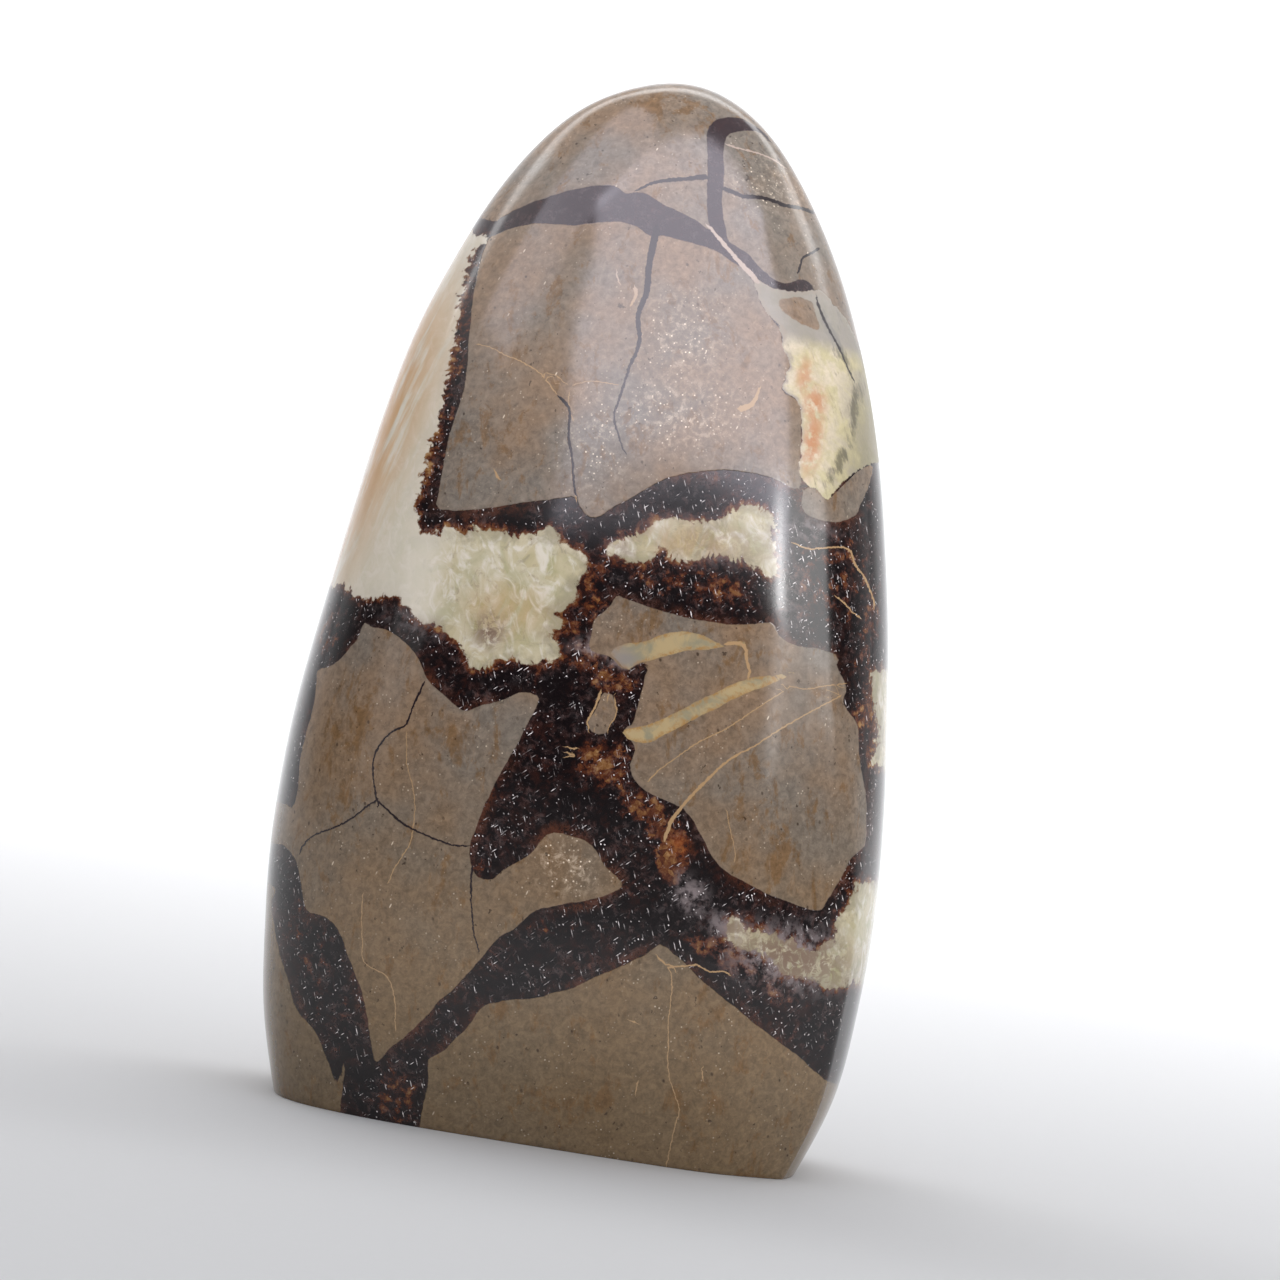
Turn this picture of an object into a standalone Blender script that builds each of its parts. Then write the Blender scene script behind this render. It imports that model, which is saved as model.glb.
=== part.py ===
"""Polished septarian nodule: one free-standing stone, cut flat underneath and polished all over.

The stone is a rounded tablet that tapers to a dome. A coarse box cage is drawn out to the
measured cross-sections, let out until its smoothed skin passes through them, and then
smoothed by a Subdivision Surface. The rim of the flat foot is broken by a small bevel.
Units are metres, +Z is up, the broad face looks along -Y, and the origin is under the
middle of the stone's box.
"""

import math

import bmesh
import bpy
from mathutils import Vector

MM = 0.001

HEIGHT = 111.0 * MM
SHOULDER = 97.5 * MM  # where the upright rows of the cage end and the dome begins
RIM_BEVEL = 0.45 * MM
RIM_SEGMENTS = 2

# Cells of the cage across, from front to back, and up to the shoulder.
CELLS = (6, 4, 12)
SMOOTHING = 2
FITTING_ROUNDS = 12

# Cross-sections from the foot to the top, in millimetres:
# height, middle in X, half width, middle in Y, half depth, and squareness,
# which is the exponent of the superellipse (2 is a true ellipse).
SECTIONS = (
    (0.0, 0.3, 27.5, -0.5, 17.8, 3.3),
    (7.0, 0.5, 29.9, -0.4, 20.0, 3.1),
    (15.0, 0.4, 31.1, -0.2, 21.3, 2.9),
    (28.0, 0.0, 32.0, 0.0, 22.0, 2.7),
    (42.0, -0.3, 31.0, 0.0, 21.8, 2.6),
    (56.0, -0.4, 29.1, 0.2, 20.8, 2.5),
    (70.0, -0.8, 26.8, 1.0, 18.8, 2.4),
    (80.0, -1.2, 24.4, 1.8, 16.8, 2.3),
    (88.5, -1.4, 21.4, 2.6, 14.4, 2.2),
    (96.5, -1.7, 17.7, 3.4, 11.6, 2.1),
    (102.0, -1.9, 14.2, 4.0, 9.4, 2.1),
    (106.5, -1.8, 10.3, 4.5, 6.8, 2.0),
    (109.6, -1.4, 5.6, 4.8, 3.6, 2.0),
    (111.0, -1.2, 0.0, 5.0, 0.0, 2.0),
)

# The lower right of the face meets the side along a ridge. It stands at this angle round
# from +X, is sharp up to one height, and has faded into the round of the stone at another.
RIDGE_ANGLE = math.radians(31.0)
RIDGE_SHARPNESS = 0.6
RIDGE_SHARP_TO = 26.0 * MM
RIDGE_GONE_AT = 58.0 * MM
CORNER_ANGLE = math.radians(45.0)

STONE_COLOUR = (0.21, 0.17, 0.13, 1.0)
STONE_ROUGHNESS = 0.18


def clear_scene():
    """Removes whatever the scene starts with."""
    for obj in list(bpy.data.objects):
        bpy.data.objects.remove(obj)


def section_at(height):
    """The cross-section at a height in metres, read between the two nearest ones.

    Half widths are read as squares, because a dome's square grows evenly from its top.
    """
    z = min(max(height / MM, 0.0), SECTIONS[-1][0])
    for low, high in zip(SECTIONS, SECTIONS[1:]):
        if z <= high[0]:
            break
    share = (z - low[0]) / (high[0] - low[0])

    def between(column):
        return low[column] + share * (high[column] - low[column])

    def between_squares(column):
        return math.sqrt(low[column] ** 2 + share * (high[column] ** 2 - low[column] ** 2))

    return between(1), between_squares(2), between(3), between_squares(4), between(5)


def ridge_share(height):
    """How much of the lower right ridge is left at a height, from 1 to 0."""
    share = (RIDGE_GONE_AT - height) / (RIDGE_GONE_AT - RIDGE_SHARP_TO)
    return min(max(share, 0.0), 1.0)


def cage_height(corner):
    """The height on the stone of a point of the two-unit cube."""
    if corner.z < 1.0:
        return SHOULDER * (corner.z + 1.0) / 2.0
    out = max(abs(corner.x), abs(corner.y))
    return HEIGHT - (HEIGHT - SHOULDER) * out**2


def around(corner, height):
    """The direction round the stone of a point of the cube, as (cosine, sine).

    At the lower right of the face the cube's corner is turned onto the ridge.
    """
    out = max(abs(corner.x), abs(corner.y))
    if out == 0.0:
        return 0.0, 0.0
    u, v = corner.x / out, corner.y / out
    angle = math.atan2(v * math.sqrt(1.0 - u * u / 2.0), u * math.sqrt(1.0 - v * v / 2.0))
    if -math.pi / 2.0 < angle < 0.0:
        corner_at = CORNER_ANGLE + ridge_share(height) * (RIDGE_ANGLE - CORNER_ANGLE)
        if angle > -CORNER_ANGLE:
            angle *= corner_at / CORNER_ANGLE
        else:
            past = (-angle - CORNER_ANGLE) / (math.pi / 2.0 - CORNER_ANGLE)
            angle = -corner_at - past * (math.pi / 2.0 - corner_at)
    return math.cos(angle), math.sin(angle)


def on_stone(corner):
    """Where a point of the two-unit cube lies on the measured stone."""
    height = cage_height(corner)
    middle_x, half_x, middle_y, half_y, squareness = section_at(height)
    reach = max(abs(corner.x), abs(corner.y)) if corner.z == -1.0 else 1.0
    cosine, sine = around(corner, height)
    power = 2.0 / squareness
    x = middle_x + reach * half_x * math.copysign(abs(cosine) ** power, cosine)
    y = middle_y + reach * half_y * math.copysign(abs(sine) ** power, sine)
    return Vector((x * MM, y * MM, height))


def cube_cage():
    """A two-unit cube cut into the cage's cells."""
    bm = bmesh.new()
    bmesh.ops.create_cube(bm, size=2.0)
    for axis, cells in enumerate(CELLS):
        along = [e for e in bm.edges if e.verts[0].co[axis] != e.verts[1].co[axis]]
        bmesh.ops.subdivide_edges(bm, edges=along, cuts=cells - 1, use_grid_fill=True)
    for vert in bm.verts:
        for axis, cells in enumerate(CELLS):
            steps = round((vert.co[axis] + 1.0) * cells / 2.0)
            vert.co[axis] = 2.0 * steps / cells - 1.0
    return bm


def smoothed_place(vert, rim):
    """Where repeated smoothing takes a vertex of the cage."""
    if vert in rim:
        beside = [e.other_vert(vert) for e in vert.link_edges if e.other_vert(vert) in rim]
        return (vert.co * 4.0 + beside[0].co + beside[1].co) / 6.0
    n = len(vert.link_edges)
    near = sum((e.other_vert(vert).co for e in vert.link_edges), Vector())
    far = Vector()
    for loop in vert.link_loops:
        far += loop.link_loop_next.link_loop_next.vert.co
    return (vert.co * n * n + near * 4.0 + far) / (n * (n + 5))


def let_out(bm, wanted, rim):
    """Moves the cage outwards until its smoothed skin passes through the wanted places."""
    for _ in range(FITTING_ROUNDS):
        moves = {v: wanted[v] - smoothed_place(v, rim) for v in bm.verts}
        for vert, move in moves.items():
            if wanted[vert].z == 0.0:
                move.z = 0.0
            vert.co += move


def sharpen_edges(bm, cube_places, rim):
    """Creases the foot's rim fully and the lower right ridge of the face in part."""
    crease = bm.edges.layers.float.new("crease_edge")
    for edge in bm.edges:
        a, b = edge.verts
        if a in rim and b in rim:
            edge[crease] = 1.0
        elif all(cube_places[v].x == 1.0 and cube_places[v].y == -1.0 for v in edge.verts):
            height = max(cage_height(cube_places[v]) for v in edge.verts)
            edge[crease] = RIDGE_SHARPNESS * ridge_share(height)


def stone_cage():
    """The cage of the whole stone, with its sharp edges marked, as a mesh."""
    bm = cube_cage()
    cube_places = {v: v.co.copy() for v in bm.verts}
    wanted = {v: on_stone(place) for v, place in cube_places.items()}
    rim = {
        v
        for v, place in cube_places.items()
        if place.z == -1.0 and max(abs(place.x), abs(place.y)) == 1.0
    }
    for vert in bm.verts:
        vert.co = wanted[vert]
    let_out(bm, wanted, rim)
    sharpen_edges(bm, cube_places, rim)
    mesh = bpy.data.meshes.new("nodule")
    bm.to_mesh(mesh)
    bm.free()
    return mesh


def stone_material():
    """Grey-brown mudstone with a polish, the colour of most of the stone."""
    material = bpy.data.materials.new("polished_mudstone")
    material.use_nodes = True
    shader = material.node_tree.nodes["Principled BSDF"]
    shader.inputs["Base Color"].default_value = STONE_COLOUR
    shader.inputs["Roughness"].default_value = STONE_ROUGHNESS
    shader.inputs["Metallic"].default_value = 0.0
    return material


def make_nodule(collection):
    """The stone as one object, smoothed and with the rim of its foot broken."""
    stone = bpy.data.objects.new("nodule", stone_cage())
    collection.objects.link(stone)
    stone.data.materials.append(stone_material())
    stone.data.shade_smooth()

    smooth = stone.modifiers.new("polished_form", "SUBSURF")
    smooth.levels = SMOOTHING
    smooth.render_levels = SMOOTHING

    bevel = stone.modifiers.new("foot_rim", "BEVEL")
    bevel.width = RIM_BEVEL
    bevel.segments = RIM_SEGMENTS
    bevel.limit_method = "ANGLE"
    bevel.angle_limit = math.radians(50.0)
    return stone


def main():
    clear_scene()
    collection = bpy.data.collections.new("septarian_nodule")
    bpy.context.scene.collection.children.link(collection)
    make_nodule(collection)


main()
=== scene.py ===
"""Polished septarian nodule: a free-standing stone, cut flat underneath and polished all over.

The stone is one piece, so the scene holds one piece too: the same smoothed cage as the solid,
drawn finer, and dressed with the pattern that the polish lays open. Grey-brown mudstone is
broken into blocks by cracks. Dark, then brown, then cream calcite fills the cracks from their
walls inwards, and thin tan and black threads run through the blocks.

The outlines of the pattern are drawn in the plane of the broad face, in millimetres.
Distances to them are kept on the mesh as attributes, and the material turns the distances
into edges, teeth, blades and colours. Units are metres, +Z is up, and the face looks along -Y.
"""

import logging
import math
from dataclasses import dataclass
from enum import Enum
from functools import cached_property

import bmesh
import bpy
import numpy as np
from mathutils import Matrix, Vector


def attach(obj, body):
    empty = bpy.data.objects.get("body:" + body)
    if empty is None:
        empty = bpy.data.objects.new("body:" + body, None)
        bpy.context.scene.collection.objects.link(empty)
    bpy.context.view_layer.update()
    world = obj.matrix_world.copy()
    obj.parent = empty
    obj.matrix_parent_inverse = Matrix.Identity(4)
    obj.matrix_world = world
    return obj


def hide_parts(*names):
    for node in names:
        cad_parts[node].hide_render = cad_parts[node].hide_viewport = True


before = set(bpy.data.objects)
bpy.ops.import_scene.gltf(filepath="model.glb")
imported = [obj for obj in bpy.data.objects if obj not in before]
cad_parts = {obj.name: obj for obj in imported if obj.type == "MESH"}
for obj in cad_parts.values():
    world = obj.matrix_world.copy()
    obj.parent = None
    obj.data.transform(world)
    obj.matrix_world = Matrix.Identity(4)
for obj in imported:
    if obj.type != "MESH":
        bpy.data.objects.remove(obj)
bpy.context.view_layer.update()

MM = 0.001
log = logging.getLogger("septarian_nodule")

Point = tuple[float, float]
Colour = tuple[float, float, float, float]


# The form of the stone


@dataclass(frozen=True)
class Section:
    """One level cross-section of the stone, a superellipse, in millimetres."""

    height: float
    middle_x: float
    half_x: float
    middle_y: float
    half_y: float
    squareness: float


SECTIONS = (
    Section(0.0, 0.3, 27.5, -0.5, 17.8, 3.3),
    Section(7.0, 0.5, 29.9, -0.4, 20.0, 3.1),
    Section(15.0, 0.4, 31.1, -0.2, 21.3, 2.9),
    Section(28.0, 0.0, 32.0, 0.0, 22.0, 2.7),
    Section(42.0, -0.3, 31.0, 0.0, 21.8, 2.6),
    Section(56.0, -0.4, 29.1, 0.2, 20.8, 2.5),
    Section(70.0, -0.8, 26.8, 1.0, 18.8, 2.4),
    Section(80.0, -1.2, 24.4, 1.8, 16.8, 2.3),
    Section(88.5, -1.4, 21.4, 2.6, 14.4, 2.2),
    Section(96.5, -1.7, 17.7, 3.4, 11.6, 2.1),
    Section(102.0, -1.9, 14.2, 4.0, 9.4, 2.1),
    Section(106.5, -1.8, 10.3, 4.5, 6.8, 2.0),
    Section(109.6, -1.4, 5.6, 4.8, 3.6, 2.0),
    Section(111.0, -1.2, 0.0, 5.0, 0.0, 2.0),
)


@dataclass
class StoneForm:
    """The polished form: a box cage let out onto the sections and smoothed."""

    name: str = "polished_nodule"
    height: float = 111.0
    shoulder: float = 97.5
    cells: tuple[int, int, int] = (6, 4, 12)
    smoothing: int = 4
    fitting_rounds: int = 12
    rim_bevel: float = 0.45
    rim_segments: int = 2
    rim_angle: float = math.radians(50.0)
    ridge_angle: float = math.radians(31.0)
    ridge_sharpness: float = 0.6
    ridge_sharp_to: float = 26.0
    ridge_gone_at: float = 58.0
    corner_angle: float = math.radians(45.0)

    def section_at(self, height: float) -> Section:
        """Reads the cross-section at a height between the two nearest ones.

        Half widths are read as squares, because a dome's square grows evenly from its top.

        Args:
            height: the height above the foot, in millimetres.

        Returns:
            The section there.
        """
        z = min(max(height, 0.0), self.height)
        for low, high in zip(SECTIONS, SECTIONS[1:]):
            if z <= high.height:
                break
        share = (z - low.height) / (high.height - low.height)

        def between(a: float, b: float) -> float:
            """The value this share of the way from a to b."""
            return a + share * (b - a)

        return Section(
            z,
            between(low.middle_x, high.middle_x),
            math.sqrt(between(low.half_x**2, high.half_x**2)),
            between(low.middle_y, high.middle_y),
            math.sqrt(between(low.half_y**2, high.half_y**2)),
            between(low.squareness, high.squareness),
        )

    def ridge_share(self, height: float) -> float:
        """How much of the lower right ridge is left at a height, from 1 to 0."""
        share = (self.ridge_gone_at - height) / (self.ridge_gone_at - self.ridge_sharp_to)
        return min(max(share, 0.0), 1.0)

    def cage_height(self, corner: Vector) -> float:
        """The height on the stone of a point of the two-unit cube.

        Args:
            corner: the point of the cube.

        Returns:
            The height, in millimetres.
        """
        if corner.z < 1.0:
            return self.shoulder * (corner.z + 1.0) / 2.0
        out = max(abs(corner.x), abs(corner.y))
        return self.height - (self.height - self.shoulder) * out**2

    def around(self, corner: Vector, height: float) -> tuple[float, float]:
        """The direction round the stone of a point of the cube.

        At the lower right of the face the cube's corner is turned onto the ridge.

        Args:
            corner: the point of the two-unit cube.
            height: its height on the stone, in millimetres.

        Returns:
            The cosine and sine of the direction.
        """
        out = max(abs(corner.x), abs(corner.y))
        if out == 0.0:
            return 0.0, 0.0
        u, v = corner.x / out, corner.y / out
        angle = math.atan2(v * math.sqrt(1.0 - u * u / 2.0), u * math.sqrt(1.0 - v * v / 2.0))
        if -math.pi / 2.0 < angle < 0.0:
            turned = self.ridge_share(height) * (self.ridge_angle - self.corner_angle)
            corner_at = self.corner_angle + turned
            if angle > -self.corner_angle:
                angle *= corner_at / self.corner_angle
            else:
                past = (-angle - self.corner_angle) / (math.pi / 2.0 - self.corner_angle)
                angle = -corner_at - past * (math.pi / 2.0 - corner_at)
        return math.cos(angle), math.sin(angle)

    def on_stone(self, corner: Vector) -> Vector:
        """Where a point of the two-unit cube lies on the stone.

        Args:
            corner: the point of the cube.

        Returns:
            The place, in metres.
        """
        height = self.cage_height(corner)
        at = self.section_at(height)
        reach = max(abs(corner.x), abs(corner.y)) if corner.z == -1.0 else 1.0
        cosine, sine = self.around(corner, height)
        power = 2.0 / at.squareness
        x = at.middle_x + reach * at.half_x * math.copysign(abs(cosine) ** power, cosine)
        y = at.middle_y + reach * at.half_y * math.copysign(abs(sine) ** power, sine)
        return Vector((x, y, height)) * MM

    def cube_cage(self) -> bmesh.types.BMesh:
        """A two-unit cube cut into the cage's cells.

        Returns:
            The cube, still open for editing.
        """
        bm = bmesh.new()
        bmesh.ops.create_cube(bm, size=2.0)
        for axis, cells in enumerate(self.cells):
            along = [e for e in bm.edges if e.verts[0].co[axis] != e.verts[1].co[axis]]
            bmesh.ops.subdivide_edges(bm, edges=along, cuts=cells - 1, use_grid_fill=True)
        for vert in bm.verts:
            for axis, cells in enumerate(self.cells):
                steps = round((vert.co[axis] + 1.0) * cells / 2.0)
                vert.co[axis] = 2.0 * steps / cells - 1.0
        return bm

    def smoothed_place(self, vert: bmesh.types.BMVert, rim: set) -> Vector:
        """Where repeated smoothing takes a vertex of the cage.

        Args:
            vert: the vertex.
            rim: the vertices of the foot's sharp rim.

        Returns:
            Its place on the smoothed skin.
        """
        if vert in rim:
            beside = [e.other_vert(vert) for e in vert.link_edges if e.other_vert(vert) in rim]
            return (vert.co * 4.0 + beside[0].co + beside[1].co) / 6.0
        n = len(vert.link_edges)
        near = sum((e.other_vert(vert).co for e in vert.link_edges), Vector())
        far = Vector()
        for loop in vert.link_loops:
            far += loop.link_loop_next.link_loop_next.vert.co
        return (vert.co * n * n + near * 4.0 + far) / (n * (n + 5))

    def let_out(self, bm: bmesh.types.BMesh, wanted: dict, rim: set) -> None:
        """Moves the cage outwards until its smoothed skin passes through the wanted places.

        Args:
            bm: the cage.
            wanted: the place on the stone of each vertex.
            rim: the vertices of the foot's sharp rim.
        """
        for _ in range(self.fitting_rounds):
            moves = {v: wanted[v] - self.smoothed_place(v, rim) for v in bm.verts}
            for vert, move in moves.items():
                if wanted[vert].z == 0.0:
                    move.z = 0.0
                vert.co += move

    def sharpen(self, bm: bmesh.types.BMesh, cube_places: dict, rim: set) -> None:
        """Creases the foot's rim fully and the lower right ridge of the face in part.

        Args:
            bm: the cage.
            cube_places: the place in the two-unit cube of each vertex.
            rim: the vertices of the foot's sharp rim.
        """
        crease = bm.edges.layers.float.new("crease_edge")
        for edge in bm.edges:
            corners = [cube_places[v] for v in edge.verts]
            if all(v in rim for v in edge.verts):
                edge[crease] = 1.0
            elif all(corner.x == 1.0 and corner.y == -1.0 for corner in corners):
                height = max(self.cage_height(corner) for corner in corners)
                edge[crease] = self.ridge_sharpness * self.ridge_share(height)

    def cage(self) -> bpy.types.Mesh:
        """The coarse cage of the whole stone, with its sharp edges marked.

        Returns:
            The cage as a mesh, in metres.
        """
        bm = self.cube_cage()
        cube_places = {v: v.co.copy() for v in bm.verts}
        wanted = {v: self.on_stone(place) for v, place in cube_places.items()}
        rim = {
            v
            for v, place in cube_places.items()
            if place.z == -1.0 and max(abs(place.x), abs(place.y)) == 1.0
        }
        for vert in bm.verts:
            vert.co = wanted[vert]
        self.let_out(bm, wanted, rim)
        self.sharpen(bm, cube_places, rim)
        mesh = bpy.data.meshes.new(self.name)
        bm.to_mesh(mesh)
        bm.free()
        return mesh

    def build(self) -> bpy.types.Object:
        """The smoothed stone as one plain mesh object.

        Returns:
            The stone, with its modifiers already in its mesh.
        """
        rough = bpy.data.objects.new(self.name + "_cage", self.cage())
        bpy.context.scene.collection.objects.link(rough)
        smooth = rough.modifiers.new("polished_form", "SUBSURF")
        smooth.levels = self.smoothing
        smooth.render_levels = self.smoothing
        bevel = rough.modifiers.new("foot_rim", "BEVEL")
        bevel.width = self.rim_bevel * MM
        bevel.segments = self.rim_segments
        bevel.limit_method = "ANGLE"
        bevel.angle_limit = self.rim_angle
        bpy.context.view_layer.update()
        graph = bpy.context.evaluated_depsgraph_get()
        mesh = bpy.data.meshes.new_from_object(rough.evaluated_get(graph))
        bpy.data.objects.remove(rough)
        mesh.name = self.name
        mesh.shade_smooth()
        stone = bpy.data.objects.new(self.name, mesh)
        bpy.context.scene.collection.objects.link(stone)
        return stone


# The plane in which the pattern is drawn


@dataclass(frozen=True)
class FacePlane:
    """The plane of the broad face, onto which the stone is seen from the camera's eye.

    The cracks run through the stone from front to back and wander on the way, so towards the
    back the pattern is drawn with a shift that grows with depth.
    """

    eye: tuple[float, float, float] = (3.0, -472.0, 52.1)
    plane_y: float = -22.0
    shift_from: float = 1.0
    shift_over: float = 16.0
    shift_u: float = 3.0
    shift_v: float = -17.0
    lean: float = 0.42
    lean_about: float = 55.0
    sway: float = 8.0
    sway_length_v: float = 19.0
    sway_length_u: float = 13.0

    def depth(self, y: np.ndarray) -> np.ndarray:
        """How far towards the back of the stone a point is, from 0 to 1."""
        share = np.clip((y - self.shift_from) / self.shift_over, 0.0, 1.0)
        return share * share * (3.0 - 2.0 * share)

    def places(self, points: np.ndarray) -> np.ndarray:
        """The place of every vertex in the plane.

        Args:
            points: one row of x, y and z for each vertex, in millimetres.

        Returns:
            One row of across and up for each vertex, in millimetres.
        """
        x, y, z = points.T
        spread = (self.plane_y - self.eye[1]) / (y - self.eye[1])
        u = self.eye[0] + (x - self.eye[0]) * spread
        v = self.eye[2] + (z - self.eye[2]) * spread
        depth = self.depth(y)
        wander_u = self.shift_u + self.sway * np.sin(v / self.sway_length_v + 0.6)
        wander_u += self.lean * (v - self.lean_about)
        wander_v = self.shift_v + self.sway * np.sin(u / self.sway_length_u + 1.1)
        return np.stack([u + depth * wander_u, v + depth * wander_v], axis=1)


@dataclass(frozen=True)
class Reading:
    """How every vertex lies against some lines of the pattern, in millimetres."""

    distance: np.ndarray
    along: np.ndarray
    side: np.ndarray
    half_width: np.ndarray


@dataclass(frozen=True)
class Trace:
    """A line of the pattern through given points, rounded between them.

    A thread also has its half widths at its start and its end, in millimetres.
    """

    points: tuple[Point, ...]
    closed: bool = True
    start_half: float = 0.0
    end_half: float = 0.0
    step: float = 0.5

    def rounded(self) -> np.ndarray:
        """Points along a Catmull-Rom curve through the trace's own points.

        Returns:
            One row for each point, about one step apart.
        """
        own = np.array(self.points)
        if self.closed:
            own = np.concatenate([own[-1:], own, own[:2]])
        else:
            own = np.concatenate([2.0 * own[:1] - own[1:2], own, 2.0 * own[-1:] - own[-2:-1]])
        pieces = []
        for before, start, end, after in zip(own, own[1:], own[2:], own[3:]):
            count = max(1, round(float(np.hypot(*(end - start))) / self.step))
            t = (np.arange(count) / count)[:, None]
            pieces.append(
                0.5 * (
                    2.0 * start
                    + (end - before) * t
                    + (2.0 * before - 5.0 * start + 4.0 * end - after) * t**2
                    + (3.0 * start - before - 3.0 * end + after) * t**3
                )
            )
        pieces.append(own[-2:-1])
        return np.concatenate(pieces)

    def read(self, places: np.ndarray) -> Reading:
        """Measures every place against the trace.

        Args:
            places: rows of across and up.

        Returns:
            The distance, how far along the line, the side, and the thread's half width there.
        """
        line = self.rounded()
        distance = np.full(len(places), np.inf)
        along = np.zeros(len(places))
        side = np.zeros(len(places))
        on_line = np.zeros(len(places), bool)
        run = 0.0
        for start, end in zip(line, line[1:]):
            step = end - start
            length = float(np.hypot(*step))
            if length == 0.0:
                continue
            offset = places - start
            raw = (offset @ step) / length**2
            share = np.clip(raw, 0.0, 1.0)
            gap = offset - share[:, None] * step
            away = np.hypot(gap[:, 0], gap[:, 1])
            closer = away < distance
            distance[closer] = away[closer]
            along[closer] = run + share[closer] * length
            side[closer] = np.sign(step[0] * offset[:, 1] - step[1] * offset[:, 0])[closer]
            on_line[closer] = (raw[closer] == share[closer]) | (run > 0.0)
            last = (run + length, closer & (raw > 1.0))
            run += length
        on_line[last[1]] = False
        half = self.start_half + (self.end_half - self.start_half) * along / run
        return Reading(distance, along, side, np.where(on_line, half, 0.0))

    def holds(self, places: np.ndarray) -> np.ndarray:
        """Whether each place is inside the closed trace.

        Args:
            places: rows of across and up.

        Returns:
            True or False for each row.
        """
        line = self.rounded()
        u, v = places.T
        inside = np.zeros(len(places), bool)
        for (u0, v0), (u1, v1) in zip(line, line[1:]):
            if v0 == v1:
                continue
            spans = (v0 > v) != (v1 > v)
            inside ^= spans & (u < (u1 - u0) * (v - v0) / (v1 - v0) + u0)
        return inside


def nearest_of(traces: tuple[Trace, ...], places: np.ndarray) -> Reading:
    """Measures every place against whichever trace is nearest to it.

    Args:
        traces: the lines.
        places: rows of across and up.

    Returns:
        The reading of the nearest trace at each place; along runs on from trace to trace.
    """
    best = traces[0].read(places)
    offset = float(best.along.max())
    for trace in traces[1:]:
        other = trace.read(places)
        closer = other.distance < best.distance
        best = Reading(
            np.where(closer, other.distance, best.distance),
            np.where(closer, other.along + offset, best.along),
            np.where(closer, other.side, best.side),
            np.where(closer, other.half_width, best.half_width),
        )
        offset += float(other.along.max())
    return best


def depth_outside(traces: tuple[Trace, ...], places: np.ndarray) -> tuple[np.ndarray, np.ndarray]:
    """The distance to the nearest edge of some closed traces, negative inside them.

    Args:
        traces: the closed outlines.
        places: rows of across and up.

    Returns:
        The distances and how far along the edge the nearest point lies, in millimetres.
    """
    reading = nearest_of(traces, places)
    inside = np.zeros(len(places), bool)
    for trace in traces:
        inside |= trace.holds(places)
    return np.where(inside, -reading.distance, reading.distance), reading.along


@dataclass(frozen=True)
class Spot:
    """A soft-edged oval of some tint on the face."""

    u: float
    v: float
    half_u: float
    half_v: float
    turn: float = 0.0
    strength: float = 1.0

    def share(self, places: np.ndarray) -> np.ndarray:
        """How strongly the spot tints each place.

        Args:
            places: rows of across and up.

        Returns:
            A share for each row, from 0 to the spot's strength.
        """
        across, up = (places - np.array((self.u, self.v))).T
        cosine, sine = math.cos(math.radians(self.turn)), math.sin(math.radians(self.turn))
        a = (across * cosine + up * sine) / self.half_u
        b = (up * cosine - across * sine) / self.half_v
        return self.strength * np.exp(-((a * a + b * b) ** 1.5))


# Blocks of mudstone

TOP_CAP = (
    (-40, 92.5), (-20, 91.2), (-17.8, 91.4), (-16, 92.7), (-14, 93.9), (-12, 94.9), (-10, 95.8),
    (-8, 96.4), (-6.6, 96.5), (-5.6, 95.9), (-4.6, 96.2), (-3.4, 96.2), (-2, 95.6), (0, 95.0),
    (2, 94.3), (3.3, 93.7), (2.9, 95), (2.5, 97), (2.25, 99), (2.0, 100.5), (1.7, 102),
    (1.5, 103.3), (1.9, 104.4), (3, 105), (4.5, 105.2), (6, 104.7), (7.5, 104.0), (12, 101.5),
    (30, 112), (0, 125), (-30, 115),
)
CROWN_BLOCK = (
    (3.6, 103.4), (4.4, 103.8), (5.6, 104.1), (7, 104.0), (9, 102.8), (20, 100), (30, 92), (34, 82),
    (20.5, 82), (19.4, 82), (18.4, 83.4), (17.4, 85.0), (16.2, 86.6), (15.2, 88.2), (14.6, 89.3),
    (14.2, 90.0), (13.2, 90.3), (12.4, 89.9), (11.6, 89.6), (10.6, 89.8), (9.6, 90.3), (8.6, 91.0),
    (7.6, 91.9), (6.4, 92.4), (5.3, 92.9), (5.0, 93.7), (4.6, 94.8), (4.2, 96), (4.0, 97.5),
    (3.9, 99), (3.8, 100), (3.5, 101), (3.4, 102.3),
)
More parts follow.
